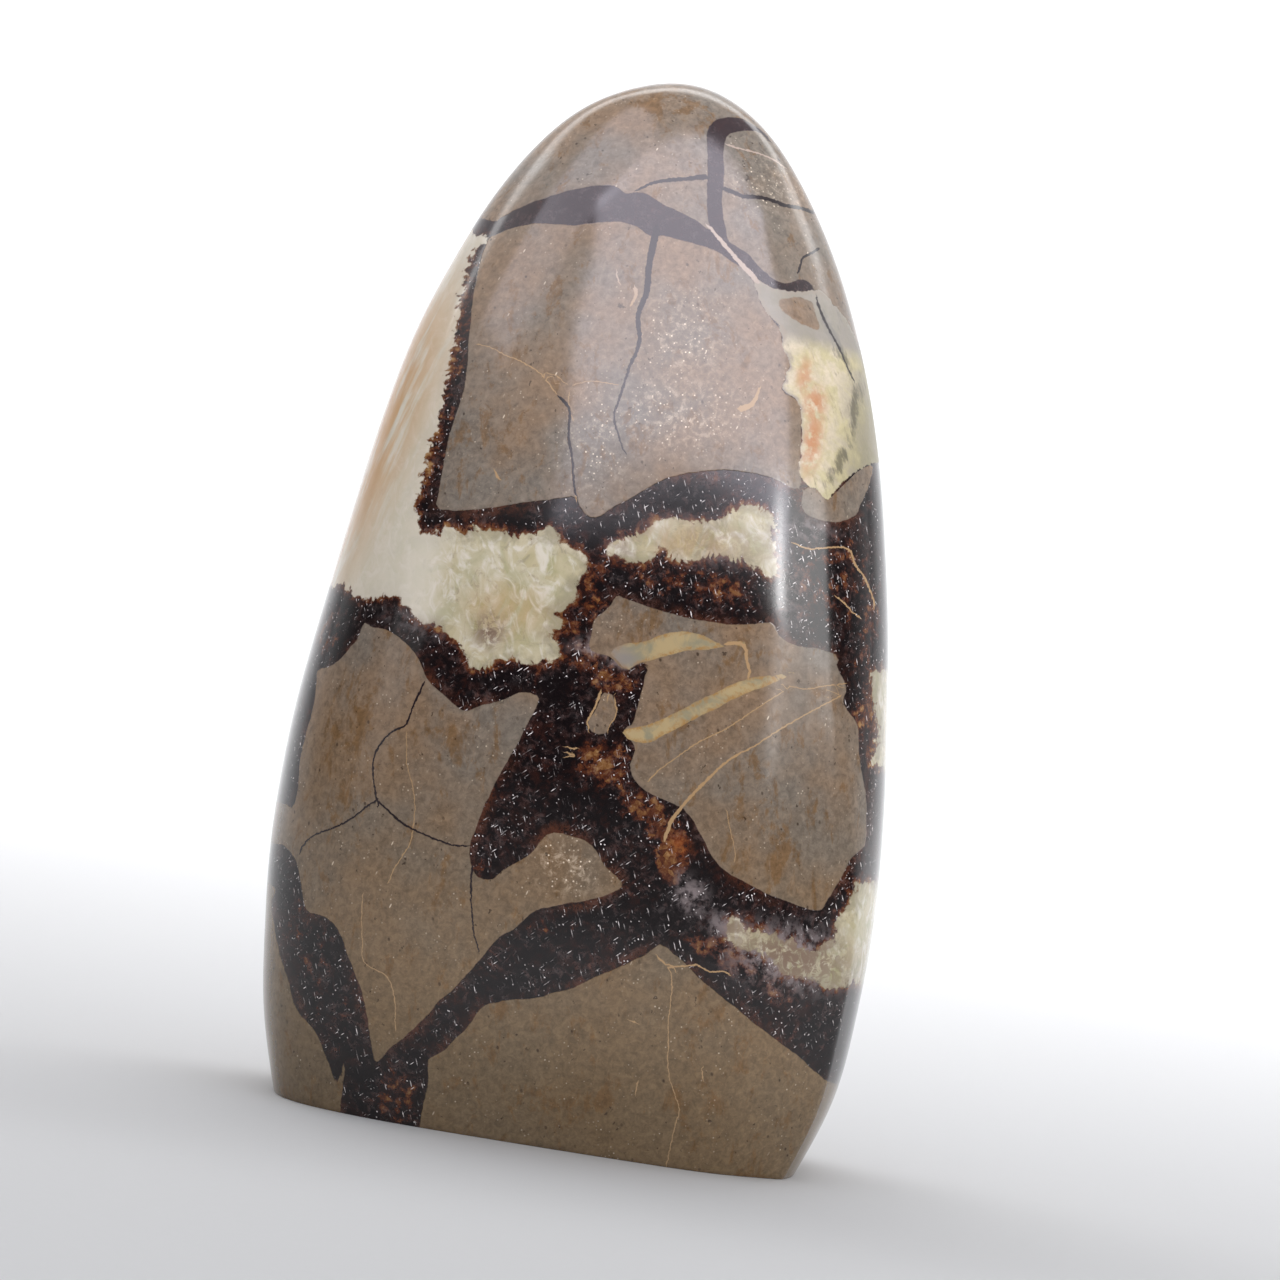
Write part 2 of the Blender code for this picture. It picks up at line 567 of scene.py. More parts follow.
GREAT_BLOCK = (
    (-18.3, 89.4), (-17, 90.2), (-16, 90.8), (-14, 91.5), (-12, 91.8), (-10, 92.0), (-8, 92.6),
    (-6, 93.0), (-4, 92.9), (-3, 92.3), (-2.2, 92.1), (-1.2, 92.4), (0, 92.3), (2.5, 92.0),
    (4, 91.8), (5.5, 91.2), (7, 90.5), (8, 89.9), (8.7, 88.9), (9.5, 87.3), (10.5, 86.3),
    (11.3, 85.5), (11.9, 85.0), (12.3, 83.6), (12.9, 82.6), (13.4, 81.8), (13.2, 80.4),
    (13.0, 79.0), (14.2, 78.5), (15.0, 77.9), (15.4, 76.5), (15.6, 75), (15.9, 73.6),
    (15.9, 72.4), (16.1, 71), (16.5, 70), (15.6, 69.5), (14.5, 70.0), (13, 70.3), (11, 70.4),
    (9, 70.3), (7, 69.9), (5, 69.3), (3.6, 68.8), (2.4, 68.1), (1.4, 67.3), (0.5, 66.5),
    (-0.5, 65.7), (-1.5, 65.0), (-2.3, 64.3), (-3.0, 63.6), (-3.8, 63.4), (-4.5, 63.8),
    (-5.2, 64.5), (-5.6, 65.2), (-6.5, 65.0), (-8, 64.6), (-10, 64.0), (-12, 63.4), (-14, 62.7),
    (-16, 62.2), (-17.5, 61.9), (-19.1, 61.9), (-19.2, 63), (-19.2, 65), (-19.1, 69),
    (-18.5, 73), (-18.35, 75), (-18.7, 79), (-18.9, 83), (-18.8, 87), (-18.5, 88.5),
)
TAN_CHIP = (
    (16.7, 69.3), (17, 67.5), (18.5, 66.9), (20.5, 66.9), (22.2, 67.8), (22.6, 69), (23, 70.5),
    (23.2, 73), (21.9, 72.3), (20.6, 70.6), (19.3, 69), (18.7, 69.6), (17.4, 70),
)
RIGHT_BLOCK = (
    (0, 56.1), (2, 55.7), (4, 55.4), (6, 55.2), (8, 55.0), (10, 55.0), (12, 55.1), (14, 55.5),
    (15.8, 55.9), (16.4, 55), (17.5, 54.3), (19, 54.0), (20.5, 54.1), (22, 53.9), (23, 53.6),
    (22.8, 52.8), (23.6, 51.5), (24.2, 50.6), (24.0, 49.6), (24.4, 48.6), (25.2, 47.9),
    (25.9, 47.0), (26.3, 45), (26.9, 42.8), (27.8, 40.3), (28.3, 37.5), (28.5, 36),
    (28.4, 35.3), (27.9, 34.6), (27.3, 33.9), (26.6, 31.8), (25.7, 29.6), (25.2, 28.4),
    (24.2, 28.2), (23, 28.4), (21.5, 28.7), (20, 29.0), (18, 29.6), (16.5, 30.1), (15, 30.7),
    (14, 31.5), (13.3, 32.2), (12.6, 33.3), (12, 34.0), (11.4, 34.8), (11.0, 35.3),
    (10.2, 36.0), (9.4, 36.4), (8, 36.7), (6.8, 37), (5.8, 37.4), (5, 37.9), (4.4, 38.6),
    (4, 39.6), (4.3, 41.2), (3.6, 42.2), (2.6, 42.9), (3.6, 43.6), (3.8, 45), (4.0, 47),
    (4.1, 48.6), (4.2, 50.0), (3.0, 49.6), (2.2, 48.9), (1.2, 49.2), (0.4, 50.0),
    (-1.2, 50.1), (-1.9, 50.5), (-1.9, 52.2), (-1.8, 53.4), (-0.9, 54.4), (-0.3, 55.4),
)
SMALL_INCLUSION = (
    (0.3, 46.4), (1.2, 46.2), (1.7, 45.2), (1.9, 44.3), (1.3, 43.4), (1.2, 42.4), (0.4, 42.1),
    (-0.5, 42.4), (-0.8, 43.2), (-0.3, 44.4), (0, 45.5),
)
LEFT_BLOCK = (
    (-28.3, 43.9), (-27.6, 44.3), (-26.6, 45.0), (-26, 45.8), (-25.6, 46.6), (-25.0, 47.5),
    (-24.7, 48.4), (-24.5, 49.4), (-23.6, 49.1), (-22.4, 49.1), (-21, 48.6), (-20, 48.0),
    (-19, 47.2), (-18.4, 46.5), (-17.9, 45.6), (-17.2, 44.6), (-16.2, 44.0), (-15.2, 43.3),
    (-14.2, 42.7), (-13.4, 42.3), (-12.6, 42.5), (-11.6, 43.1), (-10.4, 43.6), (-9.2, 44.2),
    (-8.3, 44.9), (-7.6, 45.1), (-6.8, 45.1), (-6.1, 44.8), (-6.3, 43.4), (-6.8, 42.0),
    (-7.2, 40.6), (-7.8, 39.0), (-8.4, 37.4), (-8.9, 36), (-9.7, 33.2), (-10.3, 30.4),
    (-10.5, 29), (-10.4, 28.0), (-10.0, 27.0), (-9.5, 26.3), (-8.6, 26.0), (-7.6, 26.2),
    (-7.0, 27.0), (-6.0, 27.9), (-5.0, 28.6), (-4.2, 29.5), (-3.6, 30.6), (-3.1, 31.4),
    (-2.2, 31.8), (-1.2, 31.7), (0, 31.6), (1.2, 31.3), (2.0, 30.7), (2.6, 29.9), (3.2, 29.2),
    (4.0, 28.6), (5.0, 28.1), (5.2, 27.5), (4.4, 26.8), (3.4, 26.2), (2.4, 25.8), (1.2, 25.3),
    (0, 25.0), (-1, 24.5), (-2.8, 23.9), (-4, 22.6), (-5, 21.4), (-6, 20.7), (-6.8, 19.6),
    (-7.4, 18.5), (-8.2, 17.2), (-9.2, 15.7), (-10, 14.4), (-11, 13.4), (-11.8, 12),
    (-12.6, 10.9), (-13.4, 9.8), (-14.2, 8.8), (-14.8, 8.2), (-15.4, 7.6), (-15.9, 6.5),
    (-16.4, 6.2), (-16.7, 6.9), (-17.1, 8), (-17.6, 9.6), (-18.6, 12.4), (-19.2, 13.6),
    (-20.6, 16), (-21.8, 18.2), (-22.6, 19.1), (-23.8, 19.8), (-25, 19.9), (-25.7, 20.2),
    (-26.2, 21.6), (-26.8, 23.2), (-27.3, 24.6), (-27.9, 25.4), (-28.8, 26.1), (-29.8, 26.2),
    (-40, 26.6), (-40, 29.6), (-29.3, 30.3), (-28.8, 29.9), (-28.5, 30.2), (-28.4, 32),
    (-28.6, 35), (-28.4, 38), (-28.15, 41),
)
FOOT_BLOCK = (
    (8.4, 21.0), (7.6, 20.5), (6.4, 19.6), (5, 18.8), (3.6, 17.9), (2.4, 17.0), (1, 16.2),
    (0, 15.9), (-1, 15.3), (-2, 15.0), (-3.2, 14.7), (-4.4, 14.4), (-5.6, 14.0), (-6.2, 13.8),
    (-6.8, 13.2), (-7.4, 12.0), (-8.2, 10.6), (-9, 9.6), (-9.8, 8.4), (-10.8, 7.7),
    (-11.2, 7.3), (-11.0, 6.2), (-10.8, 5), (-10.7, 3.6), (-11, 0.8), (-11, -50), (40, -50),
    (40, 10), (29.6, 11.4), (28.2, 11.7), (27.4, 12.2), (26.4, 12.8), (25.4, 13.5), (24.2, 14.1),
    (23, 14.7), (21.6, 15.5), (20, 16.3), (18.6, 17.2), (17.2, 17.9), (16, 18.7), (15, 19.2),
    (14, 19.8), (13, 20.7), (12.2, 21.2), (11.2, 21.7), (10.4, 22.4), (9.8, 22.4), (9, 21.6),
)
LEFT_FOOT_SLIVER = (
    (-40, 22.5), (-29.8, 22.2), (-29.2, 20.2), (-28.5, 18), (-27.8, 16), (-27, 14.2),
    (-26.1, 12.6), (-25.5, 11), (-24.6, 9.7), (-23.2, 8.7), (-22, 7.1), (-20.9, 5.2),
    (-19.9, 3.4), (-19.1, 1.6), (-18.6, -50), (-40, -50),
)
MUDSTONE = tuple(
    Trace(points)
    for points in (
        TOP_CAP, CROWN_BLOCK, GREAT_BLOCK, TAN_CHIP, RIGHT_BLOCK, SMALL_INCLUSION, LEFT_BLOCK,
        FOOT_BLOCK, LEFT_FOOT_SLIVER,
    )
)

# Bodies of cream calcite, the last to fill the widest cracks

LEFT_CREAM = (
    (-40, 92), (-19.9, 89.5), (-20.0, 88), (-20.4, 84), (-20.3, 80), (-20.5, 76), (-20.5, 72),
    (-20.7, 70), (-21.0, 68), (-21.3, 64), (-21.5, 62.5), (-21.2, 61), (-20.8, 59.6),
    (-20.4, 58.8), (-19.6, 59.1), (-19.0, 58.2), (-18.5, 59.2), (-18, 59.8), (-16.4, 59.4),
    (-15.6, 59.5), (-15.2, 60.4), (-14.4, 60.1), (-12, 60.4), (-10, 60.4), (-9, 60.6),
    (-8.2, 61.4), (-7.2, 61.6), (-6.8, 60.8), (-6.0, 60.2), (-5, 60.0), (-4.4, 59.7),
    (-3.8, 58.9), (-3.9, 58), (-4.2, 57), (-4.6, 56.4), (-4.3, 55.4), (-4.8, 54.7), (-5.2, 54),
    (-6.0, 53.4), (-5.3, 52.6), (-5.0, 52.2), (-5.6, 51.8), (-6.4, 51.0), (-5.4, 50.4),
    (-5, 49.4), (-5.4, 48.9), (-6.2, 48.6), (-7.0, 48.2), (-8, 48.3), (-9.4, 48.3),
    (-10.8, 48.0), (-11.4, 47.2), (-12.2, 47.0), (-13, 46.9), (-13.6, 47.8), (-14.4, 48.9),
    (-15.2, 49.4), (-17.2, 50.4), (-19.2, 50.8), (-20.2, 51.6), (-21, 52.4), (-22, 53.0),
    (-23.4, 52.4), (-25, 52.0), (-26, 52.2), (-27, 52.8), (-28, 52.9), (-28.7, 52.6), (-40, 53),
)
MIDDLE_CREAM = (
    (-2.0, 60.8), (-1, 61.3), (0, 61.8), (1, 62.4), (1.8, 63.2), (2.6, 63.8), (3.6, 64.2),
    (4.6, 64.4), (6.6, 64.4), (8.6, 64.8), (9.4, 65.4), (10.0, 66.0), (10.6, 66.5),
    (11.4, 66.9), (13, 66.7), (13.8, 66.3), (14.2, 65.6), (14.3, 64.5), (14.6, 63.4), (15, 62),
    (15.4, 60.8), (14, 60.9), (12, 61.8), (11, 61.5), (10, 61.9), (8, 61.4), (7, 60.9),
    (5, 61.0), (4.2, 61.6), (3.6, 61.9), (2.8, 60.4), (2.0, 60.0), (0.4, 60.0), (-1.4, 60.3),
)
LOWER_CREAM = (
    (17, 26), (18, 25.2), (20, 24.9), (21, 25.0), (21.8, 24.6), (22.6, 24.8), (23.4, 24.4),
    (24.4, 23.8), (25.4, 24.0), (26, 24.6), (26.8, 25.2), (27.3, 26.2), (27.0, 27.4),
    (27.4, 28.2), (28, 28.6), (28.3, 29.6), (28.6, 30.8), (29.2, 31.6), (40, 32), (40, 21.5),
    (29.6, 22), (28.6, 21.4), (27.4, 21.0), (26.4, 21.3), (24.4, 21.6), (22.4, 21.7),
    (21.6, 22.4), (20.8, 22.8), (20, 23.4), (18, 23.5), (17, 23.8), (16.2, 24.8),
)
EDGE_CREAM = (
    (26.9, 51.5), (27.1, 50), (27.6, 48.8), (28.1, 47.2), (28.4, 45.5), (28.8, 43.5), (40, 43),
    (40, 53), (28, 53),
)
CREAM = tuple(Trace(points) for points in (LEFT_CREAM, MIDDLE_CREAM, LOWER_CREAM, EDGE_CREAM))

# The weathered cream patch at the upper right, and the grey chip in it

WEATHERED_PATCH = (
    (8.2, 89.9), (8.7, 88.9), (9.5, 87.3), (10.5, 86.3), (11.3, 85.5), (11.9, 85.0), (12.3, 83.6),
    (12.9, 82.6), (13.4, 81.8), (13.2, 80.4), (13.0, 79.0), (14.2, 78.5), (15.0, 77.9),
    (15.4, 76.5), (15.6, 75), (15.9, 73.6), (15.9, 72.4), (16.1, 71), (16.7, 70.2), (17.6, 69.8),
    (18.4, 69.4), (19.2, 69.0), (19.8, 69.8), (20.8, 71.2), (22.0, 72.5), (23.6, 73.4),
    (27, 74.5), (26, 80), (23.0, 81.2), (21.6, 82.4), (20.2, 84.2), (19.0, 86.0),
    (17.6, 87.6), (16.2, 88.9), (14.8, 89.5), (13, 89.0), (11.2, 88.9), (9.8, 89.2),
)
GREY_CHIP = (
    (11.4, 88.0), (13.5, 88.5), (14.6, 88.2), (15.2, 87.0), (15.7, 86.1), (15.6, 85.5),
    (14.6, 85.6), (13.2, 86.1), (12, 86.8), (11.2, 87.4),
)

# Pale veins that cross the right block

UPPER_PALE_VEIN = (
    (0.2, 50.4), (1.6, 51.5), (3.4, 52.0), (4.4, 52.6), (5.6, 53.2), (6.8, 53.6), (8, 53.7),
    (9.4, 53.5), (10.6, 53.1), (12, 53.4), (13.2, 53.7), (13.5, 53.4), (13.3, 53.1), (12, 53.0),
    (10.8, 52.6), (9.4, 52.1), (8, 51.9), (6.6, 51.3), (5.2, 50.7), (4.2, 50.2), (3.2, 49.8),
    (2.2, 48.9), (1.4, 49.4), (0.8, 50.0),
)
LOWER_PALE_VEIN = (
    (14.2, 50.0), (12.6, 49.0), (11, 47.9), (9.4, 46.8), (7.8, 45.6), (6.2, 44.5), (4.6, 43.6),
    (3.4, 43.2), (2.7, 42.9), (2.9, 42.3), (4.2, 42.0), (5.6, 42.1), (6.6, 42.9), (8, 43.9),
    (9.4, 45.0), (10.8, 46.0), (12.2, 47.0), (13.4, 47.9), (14.6, 48.7), (15.8, 49.3),
    (17.0, 50.1), (18.2, 50.9), (19.2, 51.7), (18.0, 51.2), (16.6, 50.7), (15.4, 50.4),
)
PALE_VEINS = (Trace(UPPER_PALE_VEIN), Trace(LOWER_PALE_VEIN))


def thread(start_half: float, end_half: float, *points: Point) -> Trace:
    """An open trace that tapers from one half width to the other, in millimetres."""
    return Trace(points, False, start_half, end_half)


# Black and slate cracks: half width at the start, at the end, then the points

DARK_CRACKS = (
    thread(0.38, 0.27, (-1.9, 93.4), (-2.1, 89.5), (-2.0, 88), (-1.9, 86.5), (-2.2, 85.2)),
    thread(0.27, 0.14, (-2.2, 85.2), (-2.4, 84), (-2.1, 82.8), (-1.8, 81.5), (-2.0, 80.3),
           (-2.4, 79)),
    thread(0.14, 0.06, (-2.4, 79), (-2.6, 77.5), (-3.0, 75), (-3.2, 74), (-2.9, 73), (-1.9, 71),
           (-1.4, 70.2)),
    thread(0.14, 0.1, (-9.0, 74.9), (-7.8, 74.0), (-7.5, 73.0), (-7.4, 71.5), (-7.1, 70.3),
           (-6.6, 69), (-6.3, 67.6), (-6.0, 66.4), (-5.6, 65.3)),
    thread(0.1, 0.08, (-17.6, 44.6), (-18.4, 41.6), (-18.7, 40.0), (-19.4, 39.5), (-20.3, 38.8),
           (-21, 37.6), (-21.4, 36.2), (-21.2, 34.6), (-20.8, 33.2), (-20.4, 32.1)),
    thread(0.09, 0.07, (-20.4, 32.1), (-21.3, 31.3), (-22.2, 30.3), (-23.3, 29.3), (-24.4, 28.6),
           (-25.6, 27.9), (-26.4, 27.3), (-27, 26.3), (-27.2, 25.4)),
    thread(0.1, 0.08, (-20.4, 32.1), (-19.4, 31.4), (-18.2, 30.6), (-17, 30.0), (-15, 29.4),
           (-12.6, 28.9), (-11.4, 28.9), (-10.4, 29.1)),
    thread(0.1, 0.05, (-9.9, 27), (-9.85, 25.8), (-9.6, 24.2), (-9.2, 22.4), (-8.8, 20.8),
           (-8.3, 19.6), (-7.9, 18.8)),
    thread(0.2, 0.16, (3.9, 98.0), (5, 97.8), (6.2, 97.5), (7.2, 97.7), (9, 97.6), (10.4, 97.3),
           (12, 97.3), (13.5, 97.0)),
    thread(0.12, 0.1, (14.4, 93.6), (13.6, 92.9), (12.9, 92.3), (12.8, 90.8)),
    thread(0.12, 0.25, (-4.6, 96.3), (-3.4, 97.2), (-2, 97.8), (0, 98.3), (2.3, 98.9)),
    thread(0.13, 0.06, (14.9, 88.7), (15.7, 87.2), (16.9, 85.5), (18.2, 83.8), (19.2, 82.2),
           (20.2, 80.8)),
)

# Tan and pale threads

TAN_THREADS = (
    thread(0.03, 0.04, (-18.6, 39.4), (-18.3, 37.8), (-18, 36), (-17.3, 34.6), (-16.8, 33),
           (-16.5, 31.6), (-16.4, 28.6), (-17, 27), (-17.6, 25.6), (-18, 24)),
    thread(0.03, 0.04, (-20.3, 22.6), (-20, 20), (-19.6, 18), (-19.2, 16), (-18, 15.4),
           (-17, 15.1), (-16.2, 14.4), (-15.7, 13.3), (-15.3, 12.2), (-15.1, 10.8), (-14.8, 9.4)),
    thread(0.03, 0.06, (-18, 78.7), (-16.5, 78.6), (-15, 78.1), (-13.6, 77.8), (-12.4, 77.4),
           (-11.4, 77.0), (-10.6, 76.4), (-9.9, 75.8), (-9.2, 75.0)),
    thread(0.03, 0.03, (-10.6, 77.0), (-9.4, 76.8), (-8.6, 76.3), (-8, 76.1), (-6.8, 76.6),
           (-5.6, 76.9), (-3, 76.9)),
    thread(0.03, 0.04, (-8.0, 75.8), (-7.9, 74.8), (-7.6, 73.6), (-7.0, 72.5)),
    thread(0.03, 0.04, (-7.5, 71), (-6.9, 69.8), (-6.5, 68.2), (-6.2, 66.8), (-5.4, 64.6)),
    thread(0.05, 0.04, (6.0, 38.2), (7, 39.6), (9, 41.6), (10.2, 42.8), (13, 44.8), (15.6, 47.2),
           (18.4, 49.7)),
    thread(0.19, 0.09, (8.6, 32.6), (9.0, 34.8), (9.8, 36.3), (10.6, 37.6), (11.6, 39),
           (12.6, 40.4), (13.6, 41.6), (14.8, 42.6)),
    thread(0.07, 0.06, (14.8, 42.6), (16, 43.5), (18.8, 46), (21.6, 48.2), (23.8, 49.9)),
    thread(0.04, 0.04, (17.6, 50), (20, 49.9), (21.6, 50.4), (24, 51.1)),
    thread(0.03, 0.03, (14.2, 36.8), (14.8, 35.2), (15.8, 32.6), (15.8, 31.6)),
    thread(0.04, 0.04, (9.4, 21.3), (11, 20.4), (11.6, 18.8), (11.8, 17), (11.9, 15), (12.2, 13),
           (12.4, 11.4), (12.8, 9.6), (13.6, 8), (14.4, 6.3), (14.2, 4.6), (14, 0.5)),
    thread(0.07, 0.06, (3.6, 102.4), (5, 102.2), (7, 102), (8.6, 101.6), (10, 100.9)),
    thread(0.12, 0.26, (3, 94.2), (5.2, 92.3), (7, 90.8), (8, 90.1), (9, 89.2)),
    thread(0.17, 0.12, (11.6, 53.1), (12.8, 53.4), (13.5, 53.2), (13.7, 52.4), (14.0, 51.4),
           (14.4, 50.6), (14.3, 50.0)),
    thread(0.07, 0.09, (16.5, 64.2), (18, 63.8), (19.2, 64.0), (21.4, 64.5), (22.4, 64.2),
           (23, 63.0), (24.2, 61.8), (25.4, 59.8), (25.6, 58.8)),
    thread(0.07, 0.06, (21.6, 59.6), (22.6, 59), (23.6, 58.2), (24.4, 57.8)),
    thread(0.07, 0.07, (9.4, 21.3), (11, 20.4), (12.6, 20.6), (14, 21), (15, 20.4), (16.5, 20.8),
           (17.4, 20.4)),
    thread(0.34, 0.1, (9.1, 76.5), (10.0, 76.9), (10.6, 77.8), (10.7, 78.9)),
    thread(0.22, 0.08, (-3.1, 86.8), (-2.9, 85.9), (-3.3, 84.9)),
    thread(0.06, 0.09, (-5.2, 88.2), (-5.0, 87.4), (-4.6, 86.8)),
    thread(0.09, 0.05, (-14.0, 66.6), (-13.8, 66.0), (-13.3, 65.6)),
    thread(0.06, 0.05, (15.9, 10.8), (16.3, 9.5)),
    thread(0.06, 0.05, (9.8, 8.4), (9.8, 7.2)),
    thread(0.19, 0.12, (8.1, 14.5), (8.7, 14.2)),
    thread(0.08, 0.04, (-1.5, 40.3), (-2.8, 40.4)),
    thread(0.07, 0.03, (-1.5, 39.6), (-2.5, 39.4)),
    thread(0.12, 0.07, (-0.1, 46.4), (-0.2, 45.4), (-0.5, 44.4), (-0.9, 43.2), (-0.5, 42.3)),
    thread(0.05, 0.04, (1.3, 46.2), (1.9, 44.4), (1.4, 43.3), (1.2, 42.3)),
)


class Tint(Enum):
    """The soft tints that break up the bodies of the stone."""

    AMBER = "amber"
    GREY = "grey"
    YELLOW = "yellow"
    OCHRE = "ochre"
    GRAIN = "grain"
    ORANGE = "orange"


SPOTS: dict[Tint, tuple[Spot, ...]] = {
    Tint.AMBER: (
        Spot(7.0, 34.9, 5.0, 1.9, -32.0, 0.62),
        Spot(9.6, 31.2, 1.8, 3.0, 10.0, 0.75),
        Spot(1.3, 39.2, 3.2, 2.6, 0.0, 0.5),
        Spot(16.5, 22.3, 6.0, 1.6, -18.0, 0.5),
        Spot(21.5, 20.0, 3.5, 1.6, -25.0, 0.35),
        Spot(-2.4, 56.5, 1.6, 4.6, 0.0, 0.45),
        Spot(-2.2, 49.6, 2.6, 1.7, 0.0, 0.45),
        Spot(7.5, 58.6, 8.5, 2.4, -4.0, 0.34),
        Spot(-19.5, 76.0, 1.0, 14.0, 0.0, 0.32),
        Spot(20.5, 61.0, 5.0, 6.0, 0.0, 0.36),
        Spot(25.5, 57.0, 1.3, 6.0, 0.0, 0.4),
        Spot(26.2, 48.0, 1.4, 4.5, -20.0, 0.45),
        Spot(1.2, 47.6, 2.6, 1.6, 0.0, 0.5),
        Spot(-9.3, 27.2, 2.0, 1.0, 30.0, 0.42),
        Spot(3.5, 26.6, 3.0, 0.9, 25.0, 0.4),
        Spot(-0.5, 22.5, 4.0, 0.9, 15.0, 0.3),
        Spot(-24.0, 15.0, 3.0, 8.0, 25.0, 0.25),
        Spot(-14.0, 2.5, 3.0, 4.0, 0.0, 0.32),
        Spot(-28.0, 48.0, 2.0, 4.0, 0.0, 0.34),
        Spot(-4.0, 52.6, 1.6, 1.6, 0.0, 0.5),
    ),
    Tint.GREY: (
        Spot(12.1, 27.6, 1.6, 1.8, 0.0, 0.9),
        Spot(10.9, 29.2, 0.7, 0.9, 0.0, 0.6),
        Spot(16.3, 25.2, 3.0, 1.3, -10.0, 0.8),
        Spot(0.0, 60.9, 1.6, 0.8, 0.0, 0.6),
        Spot(18.0, 65.8, 2.4, 1.2, 0.0, 0.55),
        Spot(17.2, 58.5, 1.6, 4.0, 0.0, 0.3),
        Spot(-19.5, 50.0, 3.4, 1.0, -10.0, 0.35),
        Spot(23.0, 23.2, 6.5, 3.2, 0.0, 1.0),
        Spot(9.0, 63.0, 6.5, 2.2, 0.0, 0.45),
        Spot(-12.0, 50.6, 1.7, 1.9, 0.0, 1.0),
        Spot(-1.0, 50.8, 2.6, 1.0, 10.0, 0.9),
        Spot(1.6, 50.0, 1.6, 1.0, 0.0, 0.9),
        Spot(17.6, 84.6, 0.6, 3.6, 33.0, 1.0),
        Spot(20.6, 78.4, 0.6, 3.6, 0.0, 0.9),
        Spot(19.8, 72.8, 0.6, 2.6, -18.0, 0.9),
    ),
    Tint.YELLOW: (
        Spot(-28.4, 67.0, 5.0, 20.0, -14.0, 1.0),
        Spot(-10.5, 53.0, 4.5, 2.6, 0.0, 0.3),
        Spot(17.0, 76.0, 3.0, 6.0, 10.0, 0.8),
        Spot(6.0, 62.6, 5.0, 1.6, 0.0, 0.3),
    ),
    Tint.OCHRE: (
        Spot(3.5, 5.8, 4.0, 2.0, 10.0, 0.8),
        Spot(-12.5, 85.0, 3.0, 2.6, 0.0, 0.6),
        Spot(-3.0, 105.6, 6.0, 1.2, -5.0, 0.8),
        Spot(-14.0, 70.0, 3.5, 4.0, 20.0, 0.5),
        Spot(-24.0, 37.0, 2.5, 7.0, 0.0, 0.6),
        Spot(-14.5, 38.0, 3.0, 3.0, 0.0, 0.5),
        Spot(16.0, 38.5, 2.4, 5.0, -8.0, 0.5),
        Spot(20.0, 33.0, 2.0, 3.0, 0.0, 0.5),
        Spot(4.0, 54.0, 1.0, 2.0, 0.0, 0.7),
        Spot(1.0, 11.0, 5.0, 2.0, 20.0, 0.4),
        Spot(15.8, 52.8, 1.8, 0.7, 20.0, 1.0),
    ),
    Tint.GRAIN: (
        Spot(3.2, 75.0, 5.5, 3.2, 10.0, 0.9),
        Spot(2.6, 82.5, 3.4, 4.5, 0.0, 0.7),
        Spot(-4.5, 71.0, 3.5, 5.0, 0.0, 0.45),
        Spot(-0.5, 28.6, 3.2, 2.6, 0.0, 1.0),
        Spot(8.2, 99.0, 3.4, 2.4, 0.0, 0.6),
    ),
    Tint.ORANGE: (
        Spot(10.2, 32.4, 0.9, 1.0, 0.0, 0.75),
        Spot(16.4, 78.2, 1.2, 1.6, 0.0, 0.9),
        Spot(16.8, 74.4, 1.0, 3.4, 0.0, 0.9),
        Spot(15.0, 80.8, 0.8, 1.8, 0.0, 0.7),
        Spot(-26.0, 58.0, 0.5, 1.8, -10.0, 0.8),
    ),
}


@dataclass(frozen=True)
class Pattern:
    """Writes the pattern onto the mesh as attributes that hold millimetres and shares."""

    plane: FacePlane = FacePlane()
    faint_behind: float = 0.6

    def keep(self, mesh: bpy.types.Mesh, name: str, *columns: np.ndarray) -> None:
        """Stores three columns of numbers as one vector attribute of the mesh's points."""
        made = mesh.attributes.new(name, "FLOAT_VECTOR", "POINT")
        made.data.foreach_set("vector", np.stack(columns, axis=1).astype(np.float32).ravel())

    def tint(self, kind: Tint, places: np.ndarray) -> np.ndarray:
        """The strongest spot of one tint at each place."""
        return np.max([spot.share(places) for spot in SPOTS[kind]], axis=0)

    def write(self, mesh: bpy.types.Mesh) -> None:
        """Measures every vertex against the outlines and keeps what it finds.

        Args:
            mesh: the stone's finished mesh.
        """
        flat = np.empty(len(mesh.vertices) * 3)
        mesh.vertices.foreach_get("co", flat)
        points = flat.reshape(-1, 3) / MM
        places = self.plane.places(points)
        fine = 1.0 - self.faint_behind * self.plane.depth(points[:, 1])
        wall, wall_run = depth_outside(MUDSTONE, places)
        cream, _ = depth_outside(CREAM, places)
        pale, _ = depth_outside(PALE_VEINS, places)
        patch, _ = depth_outside((Trace(WEATHERED_PATCH),), places)
        chip, _ = depth_outside((Trace(GREY_CHIP),), places)
        dark = nearest_of(DARK_CRACKS, places)
        tan = nearest_of(TAN_THREADS, places)
        self.keep(mesh, "walls", wall, wall_run, cream)
        self.keep(mesh, "bodies", pale, patch, chip)
        for name, line in (("dark_cracks", dark), ("tan_threads", tan)):
            self.keep(mesh, name, line.side * line.distance, line.distance, line.half_width * fine)
        tints = {kind: self.tint(kind, places) for kind in Tint}
        self.keep(mesh, "calcite_tints", tints[Tint.AMBER], tints[Tint.GREY], tints[Tint.YELLOW])
        self.keep(mesh, "stone_tints", tints[Tint.OCHRE], tints[Tint.GRAIN], tints[Tint.ORANGE])


# The finish
#
# A pair of millimetres in it is where a change begins and where it is full.

Socket = bpy.types.NodeSocket
Value = Socket | float | tuple


